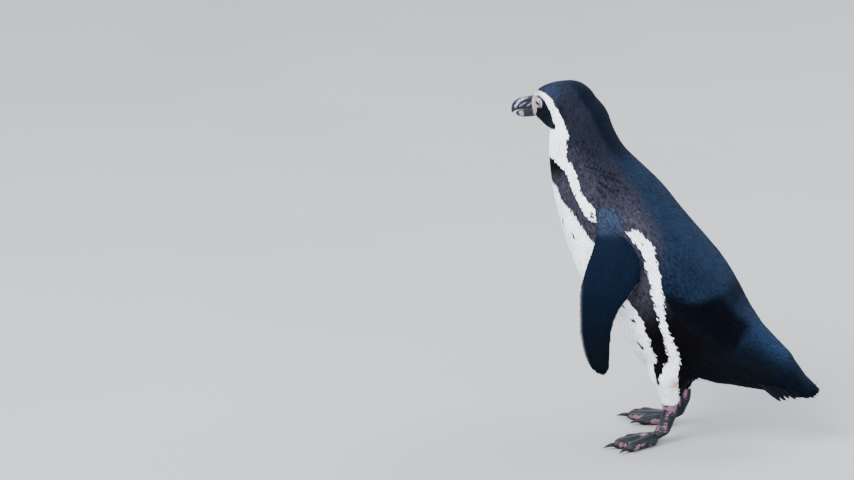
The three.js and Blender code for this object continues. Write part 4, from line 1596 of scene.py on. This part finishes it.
class PENGUIN_OT_skin(bpy.types.Operator):
    """Make the skin, one closed mesh for all the flesh"""

    bl_idname = "penguin.skin"
    bl_label = "Skin"

    def execute(self, context):
        sizes, colours = context.scene.penguin_sizes, context.scene.penguin_colours
        flesh = make_skin(sizes)
        flesh.name = "flesh"
        skin = finish_skin(flesh, sizes, colours, skin_material())
        settle(skin, "foot_skin", "tail", *FLESH)
        return {"FINISHED"}


class PENGUIN_OT_coat(bpy.types.Operator):
    """Lay the feathers of the body, neck, head, legs and flippers"""

    bl_idname = "penguin.coat"
    bl_label = "Coat"

    def execute(self, context):
        sizes, colours = context.scene.penguin_sizes, context.scene.penguin_colours
        flesh = bpy.data.objects["flesh"]
        plumage = plumage_material("plumage", 0.25, 75.0, 0.6, Specular_IOR_Level=0.02)
        scales = plumage_material("flipper plumage", 0.2, 40.0, 0.5, Specular_IOR_Level=0.03)
        vane, scale = feather_shape(BODY_VANE, 0.16), feather_shape(SCALE_VANE, 0.14)

        def body(at):
            front = at.angle < 88
            high = at.along > 245
            found = {}
            for side, mine in (("left", at.side > 0), ("right", at.side <= 0)):
                found[f"{side}_breast_coat"] = front & high & mine
                found[f"{side}_belly_coat"] = front & ~high & mine
                found[f"{side}_back_coat"] = ~front & high & mine
                found[f"{side}_rump_coat"] = ~front & ~high & mine
            return found

        def whole(name):
            return lambda at: {name: np.ones(len(at.along), bool)}

        def pair(name):
            return lambda at: {f"left_{name}_coat": at.bird[:, 0] > 0,
                               f"right_{name}_coat": at.bird[:, 0] <= 0}

        plan = (
            ("body", sizes.body_spacing, 11, body, plumage, vane),
            ("neck", sizes.neck_spacing, 12, whole("neck_coat"), plumage, vane),
            ("head", sizes.head_spacing, 13, whole("head_coat"), plumage, vane),
            ("face", sizes.face_spacing, 16, whole("face_coat"), plumage, vane),
            ("legs", sizes.leg_spacing, 14, whole("leg_coat"), plumage, vane),
            ("flippers", sizes.flipper_spacing, 15, pair("flipper"), scales, scale),
        )
        for region, spacing, seed, split, made_of, shape in plan:
            for piece in lay_coat(flesh, region, spacing, seed, split, made_of, shape, sizes, colours):
                slot = "plumage_flipper" if region == "flippers" else "plumage_slate"
                pale = piece.name.endswith(("breast_coat", "belly_coat", "leg_coat"))
                settle(piece, "plumage_white" if pale else slot)
        discard(flesh)
        return {"FINISHED"}


class PENGUIN_OT_tail(bpy.types.Operator):
    """Make the fan of stiff tail feathers"""

    bl_idname = "penguin.tail"
    bl_label = "Tail feathers"

    def execute(self, context):
        settle(make_tail(context.scene.penguin_colours), "plumage_slate")
        return {"FINISHED"}


class PENGUIN_OT_bill(bpy.types.Operator):
    """Make the two mandibles of the bill"""

    bl_idname = "penguin.bill"
    bl_label = "Bill"

    def execute(self, context):
        upper, lower = make_bill(context.scene.penguin_colours)
        settle(upper, "horn", "upper_bill")
        settle(lower, "horn", "lower_bill")
        return {"FINISHED"}


class PENGUIN_OT_eyes(bpy.types.Operator):
    """Make the two eyeballs"""

    bl_idname = "penguin.eyes"
    bl_label = "Eyes"

    def execute(self, context):
        for piece, node in zip(make_eyes(), ("left_eye", "right_eye")):
            settle(piece, "eye", node)
        return {"FINISHED"}


class PENGUIN_OT_claws(bpy.types.Operator):
    """Make the eight claws"""

    bl_idname = "penguin.claws"
    bl_label = "Claws"

    def execute(self, context):
        settle(make_claws(context.scene.penguin_colours), "horn", *CLAWS)
        return {"FINISHED"}


# The camera: it stands this far from a point of the bird and sees that point at this place of the frame.
CAMERA = {"azimuth": 102.0, "height": 19.0, "distance": 4.87, "focal_pixels": 4870 / 1.33,
          "target": (0, 0, 250), "seen_at": (648.0, 255.3), "frame": (854, 480)}


def aim_camera(camera):
    azimuth, height = math.radians(CAMERA["azimuth"]), math.radians(CAMERA["height"])
    back = Vector((math.sin(azimuth) * math.cos(height), -math.cos(azimuth) * math.cos(height),
                   math.sin(height)))
    target = SHIFT + Vector(CAMERA["target"]) * MM
    camera.location = target + back * CAMERA["distance"]
    width, tall = CAMERA["frame"]
    across = (CAMERA["seen_at"][0] - width / 2) / CAMERA["focal_pixels"]
    down = (CAMERA["seen_at"][1] - tall / 2) / CAMERA["focal_pixels"]
    level = (-back).to_track_quat("-Z", "Y")
    swing = Vector((across, -down, -1)).rotation_difference(Vector((0, 0, -1)))
    camera.rotation_euler = (level @ swing).to_euler()
    camera.data.sensor_width = 36.0
    camera.data.lens = CAMERA["focal_pixels"] * 36.0 / width
    camera.data.clip_end = 60.0


def soft_light(name, place, size, power, tint=(1, 1, 1)):
    light = bpy.data.lights.new(name, "AREA")
    light.shape = "DISK"
    light.size = size
    light.energy = power
    light.color = tint
    lamp = bpy.data.objects.new(name, light)
    lamp.location = place
    lamp.rotation_euler = (SHIFT + Vector((0, 0, 0.22)) - Vector(place)).to_track_quat("-Z", "Y").to_euler()
    bpy.context.scene.collection.objects.link(lamp)


class PENGUIN_OT_stage(bpy.types.Operator):
    """Make the floor, the light and the camera"""

    bl_idname = "penguin.stage"
    bl_label = "Stage"

    def execute(self, context):
        settings = context.scene.penguin_stage
        bm = bmesh.new()
        bmesh.ops.create_grid(bm, x_segments=8, y_segments=8, size=settings.floor_width / 2)
        shade = tuple(settings.floor_colour[:3])

        def build(net):
            cloud = net.noise(object_place(net), 2.0, 2.0)
            pale = net.blend(net.ease(cloud, 0.3, 0.7), (*shade, 1), (*(v * 0.96 for v in shade), 1))
            return {"Base Color": pale, "Roughness": net.ease(cloud, 0.3, 0.7, 0.75, 0.85)}
        floor = link("floor", bm, material("floor", build))
        world = bpy.data.worlds.new("sky")
        world.use_nodes = True
        back = world.node_tree.nodes["Background"]
        back.inputs["Color"].default_value = (0.82, 0.9, 1.0, 1)
        back.inputs["Strength"].default_value = settings.sky
        context.scene.world = world
        soft_light("key", (1.6, -1.4, 2.6), 1.8, settings.key_power, (1, 0.98, 0.96))
        soft_light("fill", (2.6, 1.0, 0.9), 1.6, settings.fill_power)
        soft_light("rim", (-1.4, 1.6, 1.9), 1.4, settings.rim_power, (0.92, 0.96, 1))
        camera = bpy.data.objects.new("camera", bpy.data.cameras.new("camera"))
        context.scene.collection.objects.link(camera)
        aim_camera(camera)
        context.scene.camera = camera
        return {"FINISHED"}


class PENGUIN_PT_panel(bpy.types.Panel):
    """Lists the pieces of the penguin and their settings"""

    bl_idname = "PENGUIN_PT_panel"
    bl_label = "Humboldt penguin"
    bl_space_type = "VIEW_3D"
    bl_region_type = "UI"
    bl_category = "Penguin"

    def draw(self, context):
        for operator in OPERATORS:
            self.layout.operator(operator.bl_idname)
        for name in GROUPS:
            group, box = getattr(context.scene, name), self.layout.box()
            for setting in group.__annotations__:
                box.prop(group, setting)


OPERATORS = (PENGUIN_OT_stage, PENGUIN_OT_skin, PENGUIN_OT_coat, PENGUIN_OT_tail, PENGUIN_OT_bill,
             PENGUIN_OT_eyes, PENGUIN_OT_claws)
GROUPS = {"penguin_sizes": PenguinSizes, "penguin_colours": PenguinColours, "penguin_stage": StageSettings}


def register():
    for group in GROUPS.values():
        bpy.utils.register_class(group)
    for name, group in GROUPS.items():
        setattr(bpy.types.Scene, name, bpy.props.PointerProperty(type=group))
    for cls in (*OPERATORS, PENGUIN_PT_panel):
        bpy.utils.register_class(cls)


def unregister():
    for cls in (PENGUIN_PT_panel, *reversed(OPERATORS)):
        bpy.utils.unregister_class(cls)
    for name, group in GROUPS.items():
        delattr(bpy.types.Scene, name)
        bpy.utils.unregister_class(group)


def main():
    register()
    for operator in OPERATORS:
        group, name = operator.bl_idname.split(".")
        getattr(getattr(bpy.ops, group), name)()


if __name__ == "__main__":
    main()
